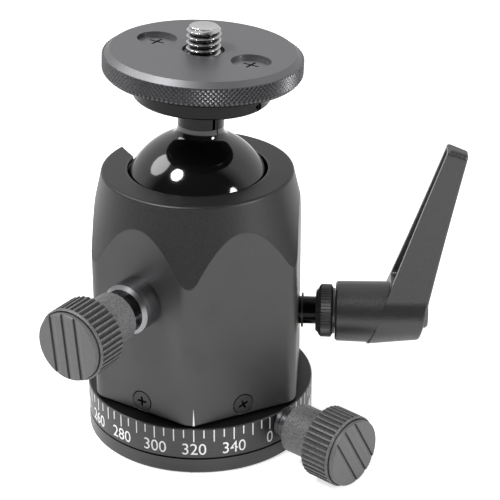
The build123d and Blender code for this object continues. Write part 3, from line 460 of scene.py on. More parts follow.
def turned_anodised_aluminium(name, colour, point, line, roughness=0.36, groove=0.004 * MM):
    """Turned and dark anodised: fine lathe lines that draw the light out across them."""
    material, tree, shader, place = new_finish(name, colour, metallic=0.7, roughness=roughness)
    # lathe feed of 0.12 mm, drawn at 0.3 mm so that it shows
    lines = turning_lines(tree, place, point, line, 0.3 * MM)
    tint = add_node(
        tree, "ShaderNodeMix",
        {"Factor": lines, 6: linear(shade(colour, 0.86)), 7: linear(shade(colour, 1.14))},
        data_type="RGBA",
    )
    tree.links.new(tint.outputs[2], shader.inputs["Base Color"])
    add_node(
        tree, "ShaderNodeMapRange",
        {"Value": lines, "To Min": roughness - 0.06, "To Max": roughness + 0.08},
        to=shader.inputs["Roughness"],
    )
    add_node(tree, "ShaderNodeBump", {"Height": lines, "Distance": groove}, to=shader.inputs["Normal"])
    return material


def darken_beyond(material, point, line, limit, colour):
    """Paints shade into a finish: a darker colour on the faces that lie beyond a distance along a line."""
    tree = material.node_tree
    shader = tree.nodes["Principled BSDF"]
    place = add_node(tree, "ShaderNodeTexCoord").outputs["Object"]
    shifted = add_node(
        tree, "ShaderNodeVectorMath", {0: place, 1: point}, operation="SUBTRACT",
    ).outputs["Vector"]
    along = add_node(
        tree, "ShaderNodeVectorMath", {0: shifted, 1: line}, operation="DOT_PRODUCT",
    ).outputs["Value"]
    beyond = add_node(
        tree, "ShaderNodeMath", {0: along, 1: limit}, operation="GREATER_THAN",
    ).outputs["Value"]
    tint = add_node(
        tree, "ShaderNodeMix",
        {"Factor": beyond, 6: shader.inputs["Base Color"].links[0].from_socket, 7: linear(colour)},
        data_type="RGBA",
    )
    tree.links.new(tint.outputs[2], shader.inputs["Base Color"])


def darken_grooves(material, colour, reach, low, high):
    """Paints shade into narrow grooves: the colour goes dark where the view from a point is closed in.

    Reach is about a groove's width, and low and high are the open shares of the view from a point at
    which it is wholly dark and wholly plain.
    """
    tree = material.node_tree
    shader = tree.nodes["Principled BSDF"]
    shelter = add_node(tree, "ShaderNodeAmbientOcclusion", {"Distance": reach}, samples=8).outputs["AO"]
    open_share = add_node(
        tree, "ShaderNodeMapRange", {"Value": shelter, "From Min": low, "From Max": high},
    ).outputs["Result"]
    linked = shader.inputs["Base Color"].links
    bare = linked[0].from_socket if linked else tuple(shader.inputs["Base Color"].default_value)
    tint = add_node(
        tree, "ShaderNodeMix", {"Factor": open_share, 6: linear(colour), 7: bare}, data_type="RGBA",
    )
    tree.links.new(tint.outputs[2], shader.inputs["Base Color"])


def polished_hard_anodised_aluminium(colour):
    """Hard anodised and polished ball: near black and glossy, with hair-fine lathe lines round the stem."""
    material, tree, shader, place = new_finish(
        "polished_hard_anodised_aluminium", colour, metallic=0.0, roughness=0.2
    )
    shader.inputs["IOR"].default_value = 1.6
    # lathe lines of about 0.1 mm, drawn at 0.35 mm so that they show
    lines = turning_lines(tree, place, BALL_CENTRE, STEM_LINE, 0.35 * MM)
    add_node(
        tree, "ShaderNodeMapRange", {"Value": lines, "To Min": 0.04, "To Max": 0.12},
        to=shader.inputs["Roughness"],
    )
    add_node(
        tree, "ShaderNodeBump", {"Height": lines, "Distance": 0.003 * MM}, to=shader.inputs["Normal"],
    )
    return material


def dark_chrome(name, colour, point, line):
    """Dark chrome over a turned collar: silvery, streaked round its axis, black where the room is dark."""
    material, tree, shader, place = new_finish(name, colour, metallic=1.0, roughness=0.4)
    # lathe feed of 0.12 mm under the chrome, drawn at 0.4 mm so that it shows
    lines = turning_lines(tree, place, point, line, 0.4 * MM)
    tint = add_node(
        tree, "ShaderNodeMix",
        {"Factor": lines, 6: linear(shade(colour, 0.7)), 7: linear(shade(colour, 1.3))},
        data_type="RGBA",
    )
    tree.links.new(tint.outputs[2], shader.inputs["Base Color"])
    add_node(
        tree, "ShaderNodeMapRange", {"Value": lines, "To Min": 0.22, "To Max": 0.4},
        to=shader.inputs["Roughness"],
    )
    add_node(
        tree, "ShaderNodeBump", {"Height": lines, "Distance": 0.006 * MM}, to=shader.inputs["Normal"],
    )
    return material


def moulded_nylon(name, colour, speckle, grain_depth):
    """Glass-filled nylon from a spark-eroded mould: matt grey with a sandy speckle."""
    material, tree, shader, place = new_finish(name, colour, metallic=0.0, roughness=0.5)
    # the mould's eroded grain, 0.3 mm, and the glass filling's pale flecks, about 0.5 mm across
    grain = add_node(
        tree, "ShaderNodeTexNoise",
        {"Vector": place, "Scale": 1 / (0.3 * MM), "Detail": 3.0, "Roughness": 0.6},
    ).outputs["Fac"]
    fleck = add_node(
        tree, "ShaderNodeTexNoise", {"Vector": place, "Scale": 1 / (0.5 * MM), "Detail": 4.0},
    ).outputs["Fac"]
    share = add_node(
        tree, "ShaderNodeMapRange", {"Value": fleck, "From Min": 0.35, "From Max": 0.68},
    ).outputs["Result"]
    tint = add_node(
        tree, "ShaderNodeMix",
        {"Factor": share, 6: linear(shade(colour, 1 - speckle)), 7: linear(shade(colour, 1 + speckle))},
        data_type="RGBA",
    )
    tree.links.new(tint.outputs[2], shader.inputs["Base Color"])
    # painted shade in the grooves and between the ribs of the knobs and caps
    darken_grooves(material, shade(colour, 0.2), reach=0.9 * MM, low=0.66, high=0.95)
    add_node(
        tree, "ShaderNodeMapRange", {"Value": grain, "To Min": 0.4, "To Max": 0.62},
        to=shader.inputs["Roughness"],
    )
    add_node(
        tree, "ShaderNodeBump", {"Height": grain, "Distance": grain_depth}, to=shader.inputs["Normal"],
    )
    return material


def powder_coated_zinc(colour):
    """Powder coat on die-cast zinc: orange peel that mottles the sheen, with glossy grit that sparkles."""
    material, tree, shader, place = new_finish("powder_coated_zinc", colour, metallic=0.0, roughness=0.4)
    shader.inputs["Specular IOR Level"].default_value = 0.7
    # orange peel of about 0.8 mm with a finer grit of 0.3 mm on it
    peel = add_node(
        tree, "ShaderNodeTexNoise", {"Vector": place, "Scale": 1 / (0.8 * MM), "Detail": 2.0},
    ).outputs["Fac"]
    grit = add_node(
        tree, "ShaderNodeTexNoise", {"Vector": place, "Scale": 1 / (0.3 * MM), "Detail": 2.0},
    ).outputs["Fac"]
    part = add_node(tree, "ShaderNodeMath", {0: grit, 1: 0.6}, operation="MULTIPLY").outputs["Value"]
    height = add_node(tree, "ShaderNodeMath", {0: peel, 1: part}, operation="ADD").outputs["Value"]
    tint = add_node(
        tree, "ShaderNodeMix",
        {"Factor": peel, 6: linear(shade(colour, 0.8)), 7: linear(shade(colour, 1.2))}, data_type="RGBA",
    )
    tree.links.new(tint.outputs[2], shader.inputs["Base Color"])
    add_node(
        tree, "ShaderNodeMapRange", {"Value": grit, "To Min": 0.22, "To Max": 0.5},
        to=shader.inputs["Roughness"],
    )
    add_node(
        tree, "ShaderNodeBump", {"Height": height, "Distance": 0.05 * MM}, to=shader.inputs["Normal"],
    )
    return material


def black_oxide_steel(name, colour="#1b1b1c", roughness=0.38):
    """Black oxide on machined steel: dark, a little stained, with a dull metal sheen."""
    material, tree, shader, place = new_finish(name, colour, metallic=0.8, roughness=roughness)
    # stains of about 0.6 mm that the oxide bath leaves
    stain = add_node(
        tree, "ShaderNodeTexNoise", {"Vector": place, "Scale": 1 / (0.6 * MM), "Detail": 3.0},
    ).outputs["Fac"]
    tint = add_node(
        tree, "ShaderNodeMix",
        {"Factor": stain, 6: linear(shade(colour, 0.75)), 7: linear(shade(colour, 1.3))},
        data_type="RGBA",
    )
    tree.links.new(tint.outputs[2], shader.inputs["Base Color"])
    add_node(
        tree, "ShaderNodeMapRange",
        {"Value": stain, "To Min": roughness - 0.08, "To Max": roughness + 0.1},
        to=shader.inputs["Roughness"],
    )
    add_node(
        tree, "ShaderNodeBump", {"Height": stain, "Distance": 0.006 * MM}, to=shader.inputs["Normal"],
    )
    return material


def machined_metal(name, colour, roughness, grain=0.4):
    """Bare machined metal: bright, with short tool marks that break up its reflections."""
    material, tree, shader, place = new_finish(name, colour, metallic=1.0, roughness=roughness)
    # tool marks of about 0.1 mm, drawn at the grain's size in millimetres so that they show
    marks = add_node(
        tree, "ShaderNodeTexNoise", {"Vector": place, "Scale": 1 / (grain * MM), "Detail": 3.0},
    ).outputs["Fac"]
    add_node(
        tree, "ShaderNodeMapRange",
        {"Value": marks, "To Min": roughness * 0.7, "To Max": roughness * 1.4},
        to=shader.inputs["Roughness"],
    )
    add_node(
        tree, "ShaderNodeBump", {"Height": marks, "Distance": 0.005 * MM}, to=shader.inputs["Normal"],
    )
    return material


def acetal(name, colour):
    """Turned acetal: a waxy, faintly glossy plastic."""
    material, tree, shader, place = new_finish(name, colour, metallic=0.0, roughness=0.35)
    # the haze that turning leaves, in patches of about 0.5 mm
    haze = add_node(
        tree, "ShaderNodeTexNoise", {"Vector": place, "Scale": 1 / (0.5 * MM), "Detail": 2.0},
    ).outputs["Fac"]
    add_node(
        tree, "ShaderNodeMapRange", {"Value": haze, "To Min": 0.3, "To Max": 0.42},
        to=shader.inputs["Roughness"],
    )
    add_node(
        tree, "ShaderNodeBump", {"Height": haze, "Distance": 0.005 * MM}, to=shader.inputs["Normal"],
    )
    return material


def engraving_enamel(colour):
    """Enamel wiped into engraved marks: matt and opaque, a little uneven."""
    material, tree, shader, place = new_finish("engraving_enamel", colour, metallic=0.0, roughness=0.6)
    # wiping leaves thin spots of about 0.4 mm
    wear = add_node(
        tree, "ShaderNodeTexNoise", {"Vector": place, "Scale": 1 / (0.4 * MM), "Detail": 3.0},
    ).outputs["Fac"]
    tint = add_node(
        tree, "ShaderNodeMix", {"Factor": wear, 6: linear(shade(colour, 0.9)), 7: linear(colour)},
        data_type="RGBA",
    )
    tree.links.new(tint.outputs[2], shader.inputs["Base Color"])
    add_node(
        tree, "ShaderNodeMapRange", {"Value": wear, "To Min": 0.5, "To Max": 0.7},
        to=shader.inputs["Roughness"],
    )
    return material


# ---- Operators


class BALLHEAD_OT_base(bpy.types.Operator):
    """Finishes the pan base: base plate, scale ring, its screws and bearings"""

    bl_idname = "ballhead.base"
    bl_label = "Base"

    def execute(self, context):
        colour = context.scene.ballhead_colours.base
        centre, upward = (0, 0, 0), (0, 0, 1)
        turned = turned_anodised_aluminium("turned_anodised_aluminium_base", colour, centre, upward)
        paint("base_plate", turned)
        ring = turned_anodised_aluminium("turned_anodised_aluminium_ring", colour, centre, upward)
        # painted shade: the ring's upper face, under the housing, is coloured darker than its outside
        darken_beyond(ring, centre, upward, RING_HIGH.z - 0.02 * MM, shade(colour, 0.42))
        paint("scale_ring", ring)
        paint("pan_spigot", turned)
        paint("base_screws", black_oxide_steel("black_oxide_steel_base"))
        paint("retainer_screws", bpy.data.materials["black_oxide_steel_base"])
        paint("bearing_washer", acetal("natural_acetal", "#d8d4c8"))
        paint("pan_brake_shoe", bpy.data.materials["natural_acetal"])
        paint("pan_retainer", machined_metal("turned_bare_aluminium", "#b9babc", roughness=0.3))
        return {"FINISHED"}


class BALLHEAD_OT_housing(bpy.types.Operator):
    """Finishes the housing, its screws and the clamp train inside it"""

    bl_idname = "ballhead.housing"
    bl_label = "Housing"

    def execute(self, context):
        colours = context.scene.ballhead_colours
        sizes = context.scene.ballhead_housing
        # the turned top is one arc through its rim, the middle of each flat and the cusps at the corners
        rim = Vector((sizes.rim_radius, sizes.rim_height))
        arch = Vector((sizes.flat_reach, sizes.arch_height))
        cusp = Vector((sizes.cusp_radius, sizes.cusp_height))
        centre = arc_centre(rim, arch, cusp)
        radius = (rim - centre).length
        all_turned_over = sizes.arch_height - 0.1 * MM
        paint(
            "housing",
            blasted_anodised_aluminium(colours.housing, colours.turned, centre, radius, all_turned_over),
        )
        paint("housing_screws", black_oxide_steel("black_oxide_steel_screws", "#3a3a3b", roughness=0.4))
        paint("seat_ring", acetal("black_acetal", "#161617"))
        for node in ("lower_cup", "spindle_washer"):
            paint(node, bpy.data.materials["black_acetal"])
        paint("wedge_guide", machined_metal("ground_steel", "#a9aaac", roughness=0.3))
        for node in ("clamp_wedge", "wedge_lifter", "disc_spring"):
            paint(node, bpy.data.materials["ground_steel"])
        paint("spindle_bush", machined_metal("machined_brass", "#c9a45c", roughness=0.28))
        paint("friction_plunger", bpy.data.materials["machined_brass"])
        return {"FINISHED"}


class BALLHEAD_OT_ball(bpy.types.Operator):
    """Finishes the ball and its neck"""

    bl_idname = "ballhead.ball"
    bl_label = "Ball"

    def execute(self, context):
        paint("ball", polished_hard_anodised_aluminium(context.scene.ballhead_colours.ball))
        neck = turned_anodised_aluminium(
            "turned_black_aluminium_neck", "#19191a", BALL_CENTRE, STEM_LINE, roughness=0.22,
        )
        paint("neck_sleeve", neck)
        paint("stem_bolt", bpy.data.materials["ground_steel"])
        return {"FINISHED"}


class BALLHEAD_OT_platform(bpy.types.Operator):
    """Finishes the camera plate, its flange and screws"""

    bl_idname = "ballhead.platform"
    bl_label = "Camera plate"

    def execute(self, context):
        colour = context.scene.ballhead_colours.plate
        plate = turned_anodised_aluminium(
            "turned_anodised_aluminium_plate", colour, BALL_CENTRE, STEM_LINE, roughness=0.43,
            groove=0.002 * MM,
        )
        # painted shade: the plate's lower edge is coloured nearly as dark as the flange
        dark_below = context.scene.ballhead_platform.dark_below
        darken_beyond(plate, BALL_CENTRE, -STEM_LINE, -dark_below, shade(colour, 0.3))
        paint("camera_plate", plate)
        # the flange gets the plate's colour darkened to about a quarter: painted shade under the plate
        flange = turned_anodised_aluminium(
            "turned_anodised_aluminium_flange_in_painted_shade", shade(colour, 0.24), BALL_CENTRE, STEM_LINE, roughness=0.3
        )
        paint("platform_flange", flange)
        paint("platform_screws", machined_metal("dark_nickel_steel", "#747476", roughness=0.3))
        paint("flange_grub_screw", black_oxide_steel("black_oxide_steel_grub"))
        return {"FINISHED"}


class BALLHEAD_OT_plate_knurl(bpy.types.Operator):
    """Cuts the diamond knurl round the camera plate's edge"""

    bl_idname = "ballhead.plate_knurl"
    bl_label = "Plate knurl"

    def execute(self, context):
        sizes = context.scene.ballhead_platform
        fine = 8  # points across a diamond
        columns = sizes.knurl_count * fine
        step = 2 * math.pi * sizes.knurl_radius / columns
        rows = max(4, round((sizes.knurl_high - sizes.knurl_low) / step))
        rounding_slope = 0.6  # how far the rounded edge goes in for each step down
        vertices = []
        sunk = sizes.knurl_radius - sizes.knurl_depth * 2
        for row in range(-1, rows + 2):
            level = min(max(row, 0), rows)
            along = sizes.knurl_low + (sizes.knurl_high - sizes.knurl_low) * level / rows
            for column in range(columns):
                across, up = column / fine, level / fine
                height = min(saw(across + up), saw(across - up))
                edge = max(0.0, sizes.knurl_rounding - (along - sizes.knurl_low)) * rounding_slope
                cut_out = sizes.knurl_radius - sizes.knurl_depth * (1 - height) - edge
                out = sunk if row in (-1, rows + 1) else cut_out
                vertices.append(stem_point(out, 2 * math.pi * column / columns, along))
        colour = shade(context.scene.ballhead_colours.plate, 0.75)
        cut = turned_anodised_aluminium(
            "knurled_anodised_aluminium", colour, BALL_CENTRE, STEM_LINE, roughness=0.34,
        )
        mesh_piece(
            "plate_knurl", vertices, ring_faces(columns, rows + 3), cut, "platform",
            smooth=False,
        )
        return {"FINISHED"}


class BALLHEAD_OT_stud(bpy.types.Operator):
    """Cuts the camera stud's helical thread and its dished end"""

    bl_idname = "ballhead.stud"
    bl_label = "Camera stud"

    def execute(self, context):
        sizes = context.scene.ballhead_platform
        steel = machined_metal("rolled_stainless_steel", "#c0c0c1", roughness=0.22, grain=1.6)
        # painted shade in the thread's valleys
        darken_grooves(steel, "#303031", reach=1.0 * MM, low=0.5, high=0.95)
        columns, fine = 96, 20  # points round the stud, and rows in one turn of its thread
        depth = sizes.stud_pitch * 0.6
        root_flat, flank = 0.1, 0.75  # shares of half a pitch
        rows = round((sizes.stud_high - sizes.stud_low) / sizes.stud_pitch * fine)
        vertices = []
        for row in range(rows + 1):
            along = sizes.stud_low + (sizes.stud_high - sizes.stud_low) * row / rows
            nose = sizes.stud_radius - max(0.0, sizes.stud_chamfer - (sizes.stud_high - along))
            for column in range(columns):
                turn = column / columns
                wave = saw((along - sizes.stud_low) / sizes.stud_pitch - turn)
                # a thread with flats at its crest and its root
                cut = min(max((wave - root_flat) / flank, 0.0), 1.0)
                out = min(sizes.stud_radius - depth * (1 - cut), nose)
                vertices.append(stem_point(out, 2 * math.pi * turn, along))
        faces = ring_faces(columns, rows + 1)
        # the turned end face, dished by 0.25 mm: each ring's radius and its height from the end
        for out, along in ((3.1 * MM, 0.0), (1.6 * MM, -0.2 * MM), (0.5 * MM, -0.25 * MM)):
            base = len(vertices)
            for column in range(columns):
                vertices.append(stem_point(out, 2 * math.pi * column / columns, sizes.stud_high + along))
            for column in range(columns):
                after = (column + 1) % columns
                faces.append(
                    (base - columns + column, base - columns + after, base + after, base + column),
                )
        faces.append(tuple(range(len(vertices) - columns, len(vertices))))
        stud = mesh_piece("stud_thread", vertices, faces, steel, "platform", smooth=True)
        stud.data.set_sharp_from_angle(angle=math.radians(28))
        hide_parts("camera_stud")
        return {"FINISHED"}


class BALLHEAD_OT_lever(bpy.types.Operator):
    """Finishes the clamp lever, its collar, screw and spring"""

    bl_idname = "ballhead.lever"
    bl_label = "Clamp lever"

    def execute(self, context):
        paint("clamp_lever", powder_coated_zinc(context.scene.ballhead_colours.lever))
        collar = turned_anodised_aluminium(
            "turned_anodised_aluminium_collar", "#5a5a5b", SPINDLE_CENTRE, (1, 0, 0), roughness=0.34
        )
        paint("lever_insert", collar)
        paint("lever_screw", black_oxide_steel("black_oxide_steel_lever", "#4c4c4e", roughness=0.35))
        paint("clamp_spindle", black_oxide_steel("black_oxide_steel_spindle", "#0f0f10", roughness=0.16))
        paint("lever_spring", machined_metal("spring_steel", "#a2a3a5", roughness=0.25))
        return {"FINISHED"}


class BALLHEAD_OT_spring(bpy.types.Operator):
    """Winds the lever's coil spring; the real spring shortens as the lever is pulled out, but this one
    keeps its length
    """

    bl_idname = "ballhead.spring"
    bl_label = "Lever spring"

    def execute(self, context):
        low, high = (Vector(corner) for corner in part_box("lever_spring"))
        wire = context.scene.ballhead_spring.wire_radius
        fine, sides = 24, 8  # steps in a turn, and sides of the wire
        coil = (high.y - low.y) / 2 - wire
        rows = context.scene.ballhead_spring.turns * fine + 1
        vertices = []
        for row in range(rows):
            turn = 2 * math.pi * row / fine
            outward = Vector((0, math.cos(turn), math.sin(turn)))
            along = low.x + wire + (high.x - low.x - wire * 2) * row / (rows - 1)
            centre = Vector((along, 0, SPINDLE_CENTRE.z)) + outward * coil
            for side in range(sides):
                lean = 2 * math.pi * side / sides
                sideways = Vector((wire * math.sin(lean), 0, 0))
                vertices.append(centre + outward * wire * math.cos(lean) + sideways)
        faces = ring_faces(sides, rows)
        faces.append(tuple(range(sides)))
        faces.append(tuple(range((rows - 1) * sides, rows * sides)))
        steel = bpy.data.materials["spring_steel"]
        spring = mesh_piece("lever_coil_spring", vertices, faces, steel, "spindle")
        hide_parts("lever_spring")
        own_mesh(spring)
        return {"FINISHED"}


class BALLHEAD_OT_collar_knurl(bpy.types.Operator):
    """Cuts the straight knurl on the lever's collar"""

    bl_idname = "ballhead.collar_knurl"
    bl_label = "Collar knurl"

    def execute(self, context):
        sizes = context.scene.ballhead_collar
        fine = 8  # points across a ridge
        columns = sizes.ridges * fine
        end = sizes.start + sizes.length
        # from part of the way up one chamfer to half way down the other, with both ends sunk in the insert
        profile = [
            (sizes.start + sizes.near_chamfer * 0.55, sizes.radius - sizes.near_chamfer * 0.45),
            (sizes.start + sizes.near_chamfer, sizes.radius),
            (end - sizes.far_chamfer, sizes.radius),
            (end - sizes.far_chamfer * 0.5, sizes.radius - sizes.far_chamfer * 0.5),
        ]
        profile = [(profile[0][0], profile[0][1] - sizes.depth * 1.5)] + profile
        profile.append((profile[-1][0], profile[-1][1] - sizes.depth * 1.5))
        vertices = []
        for index, (along, out) in enumerate(profile):
            for column in range(columns):
                turn = 2 * math.pi * column / columns
                cut = sizes.depth * (1 - saw(column / fine)) if 0 < index < len(profile) - 1 else 0.0
                reach = out - cut
                vertices.append(
                    (along, reach * math.cos(turn), SPINDLE_CENTRE.z + reach * math.sin(turn)),
                )
        mesh_piece(
            "collar_knurl", vertices, ring_faces(columns, len(profile)),
            bpy.data.materials["turned_anodised_aluminium_collar"], "spindle",
            smooth=False,
        )
        return {"FINISHED"}


class BALLHEAD_OT_knobs(bpy.types.Operator):
    """Finishes the friction and pan lock knobs with their screws and collars"""

    bl_idname = "ballhead.knobs"
    bl_label = "Knobs"

    def execute(self, context):
        colour = context.scene.ballhead_colours.knob
        nylon = moulded_nylon("spark_eroded_grey_nylon", colour, speckle=0.2, grain_depth=0.04 * MM)
        for node in ("friction_knob", "pan_lock_knob"):
            paint(node, nylon)
        cap = moulded_nylon("smooth_moulded_grey_nylon", colour, speckle=0.03, grain_depth=0.008 * MM)
        for node in ("friction_cap", "pan_lock_cap"):
            paint(node, cap)
        for node, joint in (("friction_bush", "friction_turn"), ("pan_lock_collar", "pan_lock_turn")):
            point, line = JOINTS[joint]["pos_m"], JOINTS[joint]["axis"]
            paint(node, dark_chrome("dark_chrome_" + node, "#7c7c7e", point, line))
        for node in ("friction_screw", "pan_lock_screw"):
            paint(node, bpy.data.materials["ground_steel"])
        return {"FINISHED"}


class BALLHEAD_OT_scale(bpy.types.Operator):
    """Engraves the degree scale and its numerals round the base"""

    bl_idname = "ballhead.scale"
    bl_label = "Degree scale"

    def execute(self, context):
        sizes = context.scene.ballhead_scale
        fill = engraving_enamel(context.scene.ballhead_colours.marks)
        radius = RING_HIGH.x
        top = RING_HIGH.z - 0.3 * MM  # the ticks start under the ring's chamfer
        skin, sunk = radius + MARK_PROUD, radius - MARK_DEPTH
        # a digit's height as a share of the font's size, and the share of its width that is kept
        digit_share, digit_narrowing = 0.729, 0.93
        vertices, faces = [], []

        def reading_angle(degrees):
            return sizes.zero_angle + math.radians(degrees - sizes.shown_degrees)

        def block(corners):
            """A thin block between an outline on the ring's face and the same outline under it."""
            start = len(vertices)
            count = len(corners)
            for out in (skin, sunk):
                for angle, height in corners:
                    vertices.append((out * math.cos(angle), out * math.sin(angle), height))
            faces.append(tuple(range(start, start + count)))
            for index in range(count):
                after = (index + 1) % count
                faces.append(
                    (start + index, start + count + index, start + count + after, start + after),
                )

        for tick in range(0, 360, 5):
            length = sizes.long_tick if tick % 10 == 0 else sizes.short_tick
            half = sizes.tick_width / 2 / radius
            middle = reading_angle(tick)
            left, right, foot = middle - half, middle + half, top - length
            block([(left, foot), (right, foot), (right, top), (left, top)])
        mesh_piece("scale_ticks", vertices, faces, fill, "base", smooth=False)

        for reading in range(0, 360, 20):
            text = bpy.data.curves.new("numeral_%03d" % reading, "FONT")
            text.body = str(reading)
            text.align_x = "CENTER"
            text.size = sizes.numeral_height / digit_share
            # strokes a hair bolder, and a thin body whose faces move to the fill's skin and foot below
            text.offset = 0.004 * MM
            text.extrude = 0.05 * MM
            text.resolution_u = 6
            maker = bpy.data.objects.new("numeral_maker", text)
            mesh = bpy.data.meshes.new_from_object(maker)
            bpy.data.objects.remove(maker)
            for vertex in mesh.vertices:
                across, up, raised = vertex.co
                angle = reading_angle(reading) + across * digit_narrowing / radius
                out = skin if raised > 0 else sunk
                vertex.co = (out * math.cos(angle), out * math.sin(angle), sizes.numeral_foot + up)
            mesh.name = "scale_numeral_%03d" % reading
            mesh.materials.clear()
            mesh.materials.append(fill)
            piece = bpy.data.objects.new(mesh.name, mesh)
            context.scene.collection.objects.link(piece)
            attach(piece, "base")
        return {"FINISHED"}


class BALLHEAD_OT_index(bpy.types.Operator):
    """Engraves the index line on the housing's front corner"""

    bl_idname = "ballhead.index"
    bl_label = "Index line"

    def execute(self, context):
        sizes = context.scene.ballhead_scale
        low = HOUSING_LOW.z + 0.15 * MM
        # the line lies on the round between the two front flats, and narrows from its foot to its tip
        front = math.radians(-90)
        corner = context.scene.ballhead_housing.corner_round
        centre = (context.scene.ballhead_housing.flat_reach - corner) / math.cos(math.radians(30))
        foot_half, tip_half, levels = 0.27 * MM, 0.03 * MM, 8
        vertices = []
        for level in range(levels + 1):
            share = level / levels
            half = (foot_half - tip_half) * (1 - share) + tip_half
            for side in (-1, 1):
                angle = sizes.zero_angle + side * half / (centre + corner)
                # distance out to the round in this direction from the pan axis
                off = angle - front
                reach = centre * math.cos(off) + math.sqrt(corner**2 - (centre * math.sin(off)) ** 2)
                height = low + sizes.index_length * share
                for out in (reach + MARK_PROUD, reach - MARK_DEPTH):
                    vertices.append((out * math.cos(angle), out * math.sin(angle), height))
        faces = []
        for level in range(levels):
            base = level * 4
            faces.append((base, base + 2, base + 6, base + 4))
            faces.append((base + 1, base, base + 4, base + 5))
            faces.append((base + 2, base + 3, base + 7, base + 6))
        fill = bpy.data.materials["engraving_enamel"]
        mesh_piece("index_line", vertices, faces, fill, "housing", smooth=False)
        return {"FINISHED"}


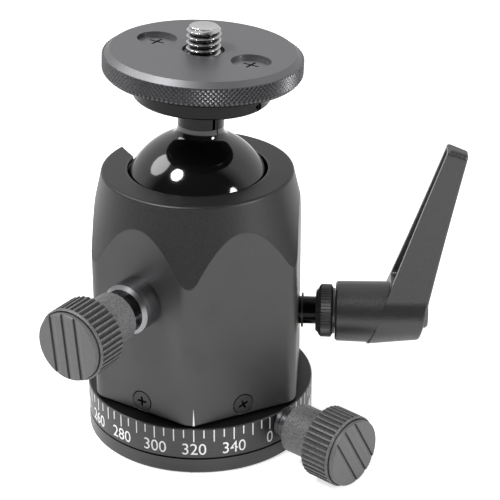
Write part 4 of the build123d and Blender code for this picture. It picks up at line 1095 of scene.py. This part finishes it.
class BALLHEAD_OT_stage(bpy.types.Operator):
    """Sets the floor, the lamps, the surroundings and the camera"""

    bl_idname = "ballhead.stage"
    bl_label = "Stage"

    def execute(self, context):
        scene = context.scene
        studio = scene.ballhead_studio
        scene.view_settings.view_transform = "Standard"

        mesh = bpy.data.meshes.new("studio_floor")
        mesh.from_pydata([(-3, -3, 0), (3, -3, 0), (3, 3, 0), (-3, 3, 0)], [], [(0, 1, 2, 3)])
        floor = bpy.data.objects.new("studio_floor", mesh)
        floor.location.z = -0.05 * MM  # clear of the base's underside
        scene.collection.objects.link(floor)
        paper = bpy.data.materials.new("white_backdrop_paper")
        paper.use_nodes = True
        tree = paper.node_tree
        tree.nodes.clear()
        # the paper keeps the shadow, and its own glow makes it read as white, and a little darker mirrored
        seen_glow, mirrored_glow = 0.72, 0.55
        ray = add_node(tree, "ShaderNodeLightPath")
        mirrored = add_node(
            tree, "ShaderNodeMath", {0: ray.outputs["Is Glossy Ray"], 1: mirrored_glow},
            operation="MULTIPLY",
        )
        glow = add_node(
            tree, "ShaderNodeMath",
            {0: ray.outputs["Is Camera Ray"], 1: seen_glow, 2: mirrored.outputs["Value"]},
            operation="MULTIPLY_ADD",
        )
        cloth = add_node(tree, "ShaderNodeBsdfDiffuse", {"Color": (0.8, 0.8, 0.8, 1)})
        light = add_node(tree, "ShaderNodeEmission", {"Strength": glow.outputs["Value"]})
        both = add_node(
            tree, "ShaderNodeAddShader", {0: cloth.outputs["BSDF"], 1: light.outputs["Emission"]},
        )
        add_node(tree, "ShaderNodeOutputMaterial", {"Surface": both.outputs["Shader"]})
        mesh.materials.append(paper)

        world = bpy.data.worlds.new("white_studio")
        scene.world = world
        world.use_nodes = True
        tree = world.node_tree
        tree.nodes.clear()
        ray = add_node(tree, "ShaderNodeLightPath")
        # polished metal sees a white wall behind and beside the object and a dim room in front of it
        direction = add_node(tree, "ShaderNodeTexCoord").outputs["Generated"]
        side = add_node(tree, "ShaderNodeSeparateXYZ", {"Vector": direction})
        dim_room, white_wall, plain_light = 0.06, 0.9, 0.2
        wall = add_node(
            tree, "ShaderNodeMapRange",
            {
                "Value": side.outputs["Y"], "From Min": -0.25, "From Max": 0.15,
                "To Min": dim_room, "To Max": white_wall,
            },
        )
        room = add_node(
            tree, "ShaderNodeMix", {2: plain_light, 3: wall.outputs["Result"]}, data_type="FLOAT",
        )
        tree.links.new(ray.outputs["Is Glossy Ray"], room.inputs[0])
        shown = add_node(
            tree, "ShaderNodeMath",
            {0: ray.outputs["Is Camera Ray"], 1: ray.outputs["Is Transmission Ray"]},
            operation="MAXIMUM",
        )
        strength = add_node(tree, "ShaderNodeMix", {2: room.outputs[0], 3: 1.0}, data_type="FLOAT")
        tree.links.new(shown.outputs["Value"], strength.inputs[0])
        sky = add_node(
            tree, "ShaderNodeBackground", {"Color": (1, 1, 1, 1), "Strength": strength.outputs[0]},
        )
        add_node(tree, "ShaderNodeOutputWorld", {"Surface": sky.outputs["Background"]})

        # each lamp's name, direction and rise in degrees, distance, width and height in metres, and power
        lamps = (
            ("key_softbox", -140, 55, 0.9, 0.26, 0.26, studio.key_power),
            ("side_softbox", -23, 20, 0.9, 0.2, 0.34, studio.side_power),
            ("top_softbox", 170, 44, 1.0, 0.5, 0.5, studio.top_power),
        )
        aim = Vector((0, 0, 0.05))  # about the object's middle
        for name, turn, rise, reach, wide, high, power in lamps:
            lamp = bpy.data.lights.new(name, "AREA")
            lamp.shape = "ELLIPSE"
            lamp.size, lamp.size_y = wide, high
            lamp.energy = power
            holder = bpy.data.objects.new(name, lamp)
            turn, rise = math.radians(turn), math.radians(rise)
            line = Vector(
                (math.cos(turn) * math.cos(rise), math.sin(turn) * math.cos(rise), math.sin(rise)),
            )
            holder.location = aim + line * reach
            holder.rotation_euler = (-line).to_track_quat("-Z", "Y").to_euler()
            scene.collection.objects.link(holder)

        view = bpy.data.cameras.new("studio_camera")
        view.lens = studio.lens
        view.sensor_width = 36.0
        camera = bpy.data.objects.new("studio_camera", view)
        camera.location = studio.camera_place
        line = Vector(studio.camera_target) - Vector(studio.camera_place)
        camera.rotation_euler = line.to_track_quat("-Z", "Y").to_euler()
        scene.collection.objects.link(camera)
        scene.camera = camera
        return {"FINISHED"}


class BALLHEAD_PT_panel(bpy.types.Panel):
    """Lists the pieces of the ball head and their sizes"""

    bl_idname = "BALLHEAD_PT_panel"
    bl_label = "Ball head"
    bl_space_type = "VIEW_3D"
    bl_region_type = "UI"
    bl_category = "Ball head"

    def draw(self, context):
        for kind in STEPS:
            self.layout.operator(kind.bl_idname)
        for name, kind in GROUPS.items():
            box = self.layout.box()
            for field in kind.__annotations__:
                box.prop(getattr(context.scene, name), field)


GROUPS = {
    "ballhead_housing": BALLHEAD_PG_housing,
    "ballhead_platform": BALLHEAD_PG_platform,
    "ballhead_collar": BALLHEAD_PG_collar,
    "ballhead_spring": BALLHEAD_PG_spring,
    "ballhead_scale": BALLHEAD_PG_scale,
    "ballhead_colours": BALLHEAD_PG_colours,
    "ballhead_studio": BALLHEAD_PG_studio,
}
STEPS = (
    BALLHEAD_OT_stage,
    BALLHEAD_OT_base,
    BALLHEAD_OT_housing,
    BALLHEAD_OT_ball,
    BALLHEAD_OT_platform,
    BALLHEAD_OT_plate_knurl,
    BALLHEAD_OT_stud,
    BALLHEAD_OT_lever,
    BALLHEAD_OT_spring,
    BALLHEAD_OT_collar_knurl,
    BALLHEAD_OT_knobs,
    BALLHEAD_OT_scale,
    BALLHEAD_OT_index,
)


def register():
    for kind in (*GROUPS.values(), *STEPS, BALLHEAD_PT_panel):
        bpy.utils.register_class(kind)
    for name, kind in GROUPS.items():
        setattr(bpy.types.Scene, name, PointerProperty(type=kind))


def unregister():
    for name in GROUPS:
        delattr(bpy.types.Scene, name)
    for kind in reversed((*GROUPS.values(), *STEPS, BALLHEAD_PT_panel)):
        bpy.utils.unregister_class(kind)


def main():
    register()
    for kind in STEPS:
        family, name = kind.bl_idname.split(".")
        getattr(getattr(bpy.ops, family), name)()


if __name__ == "__main__":
    main()
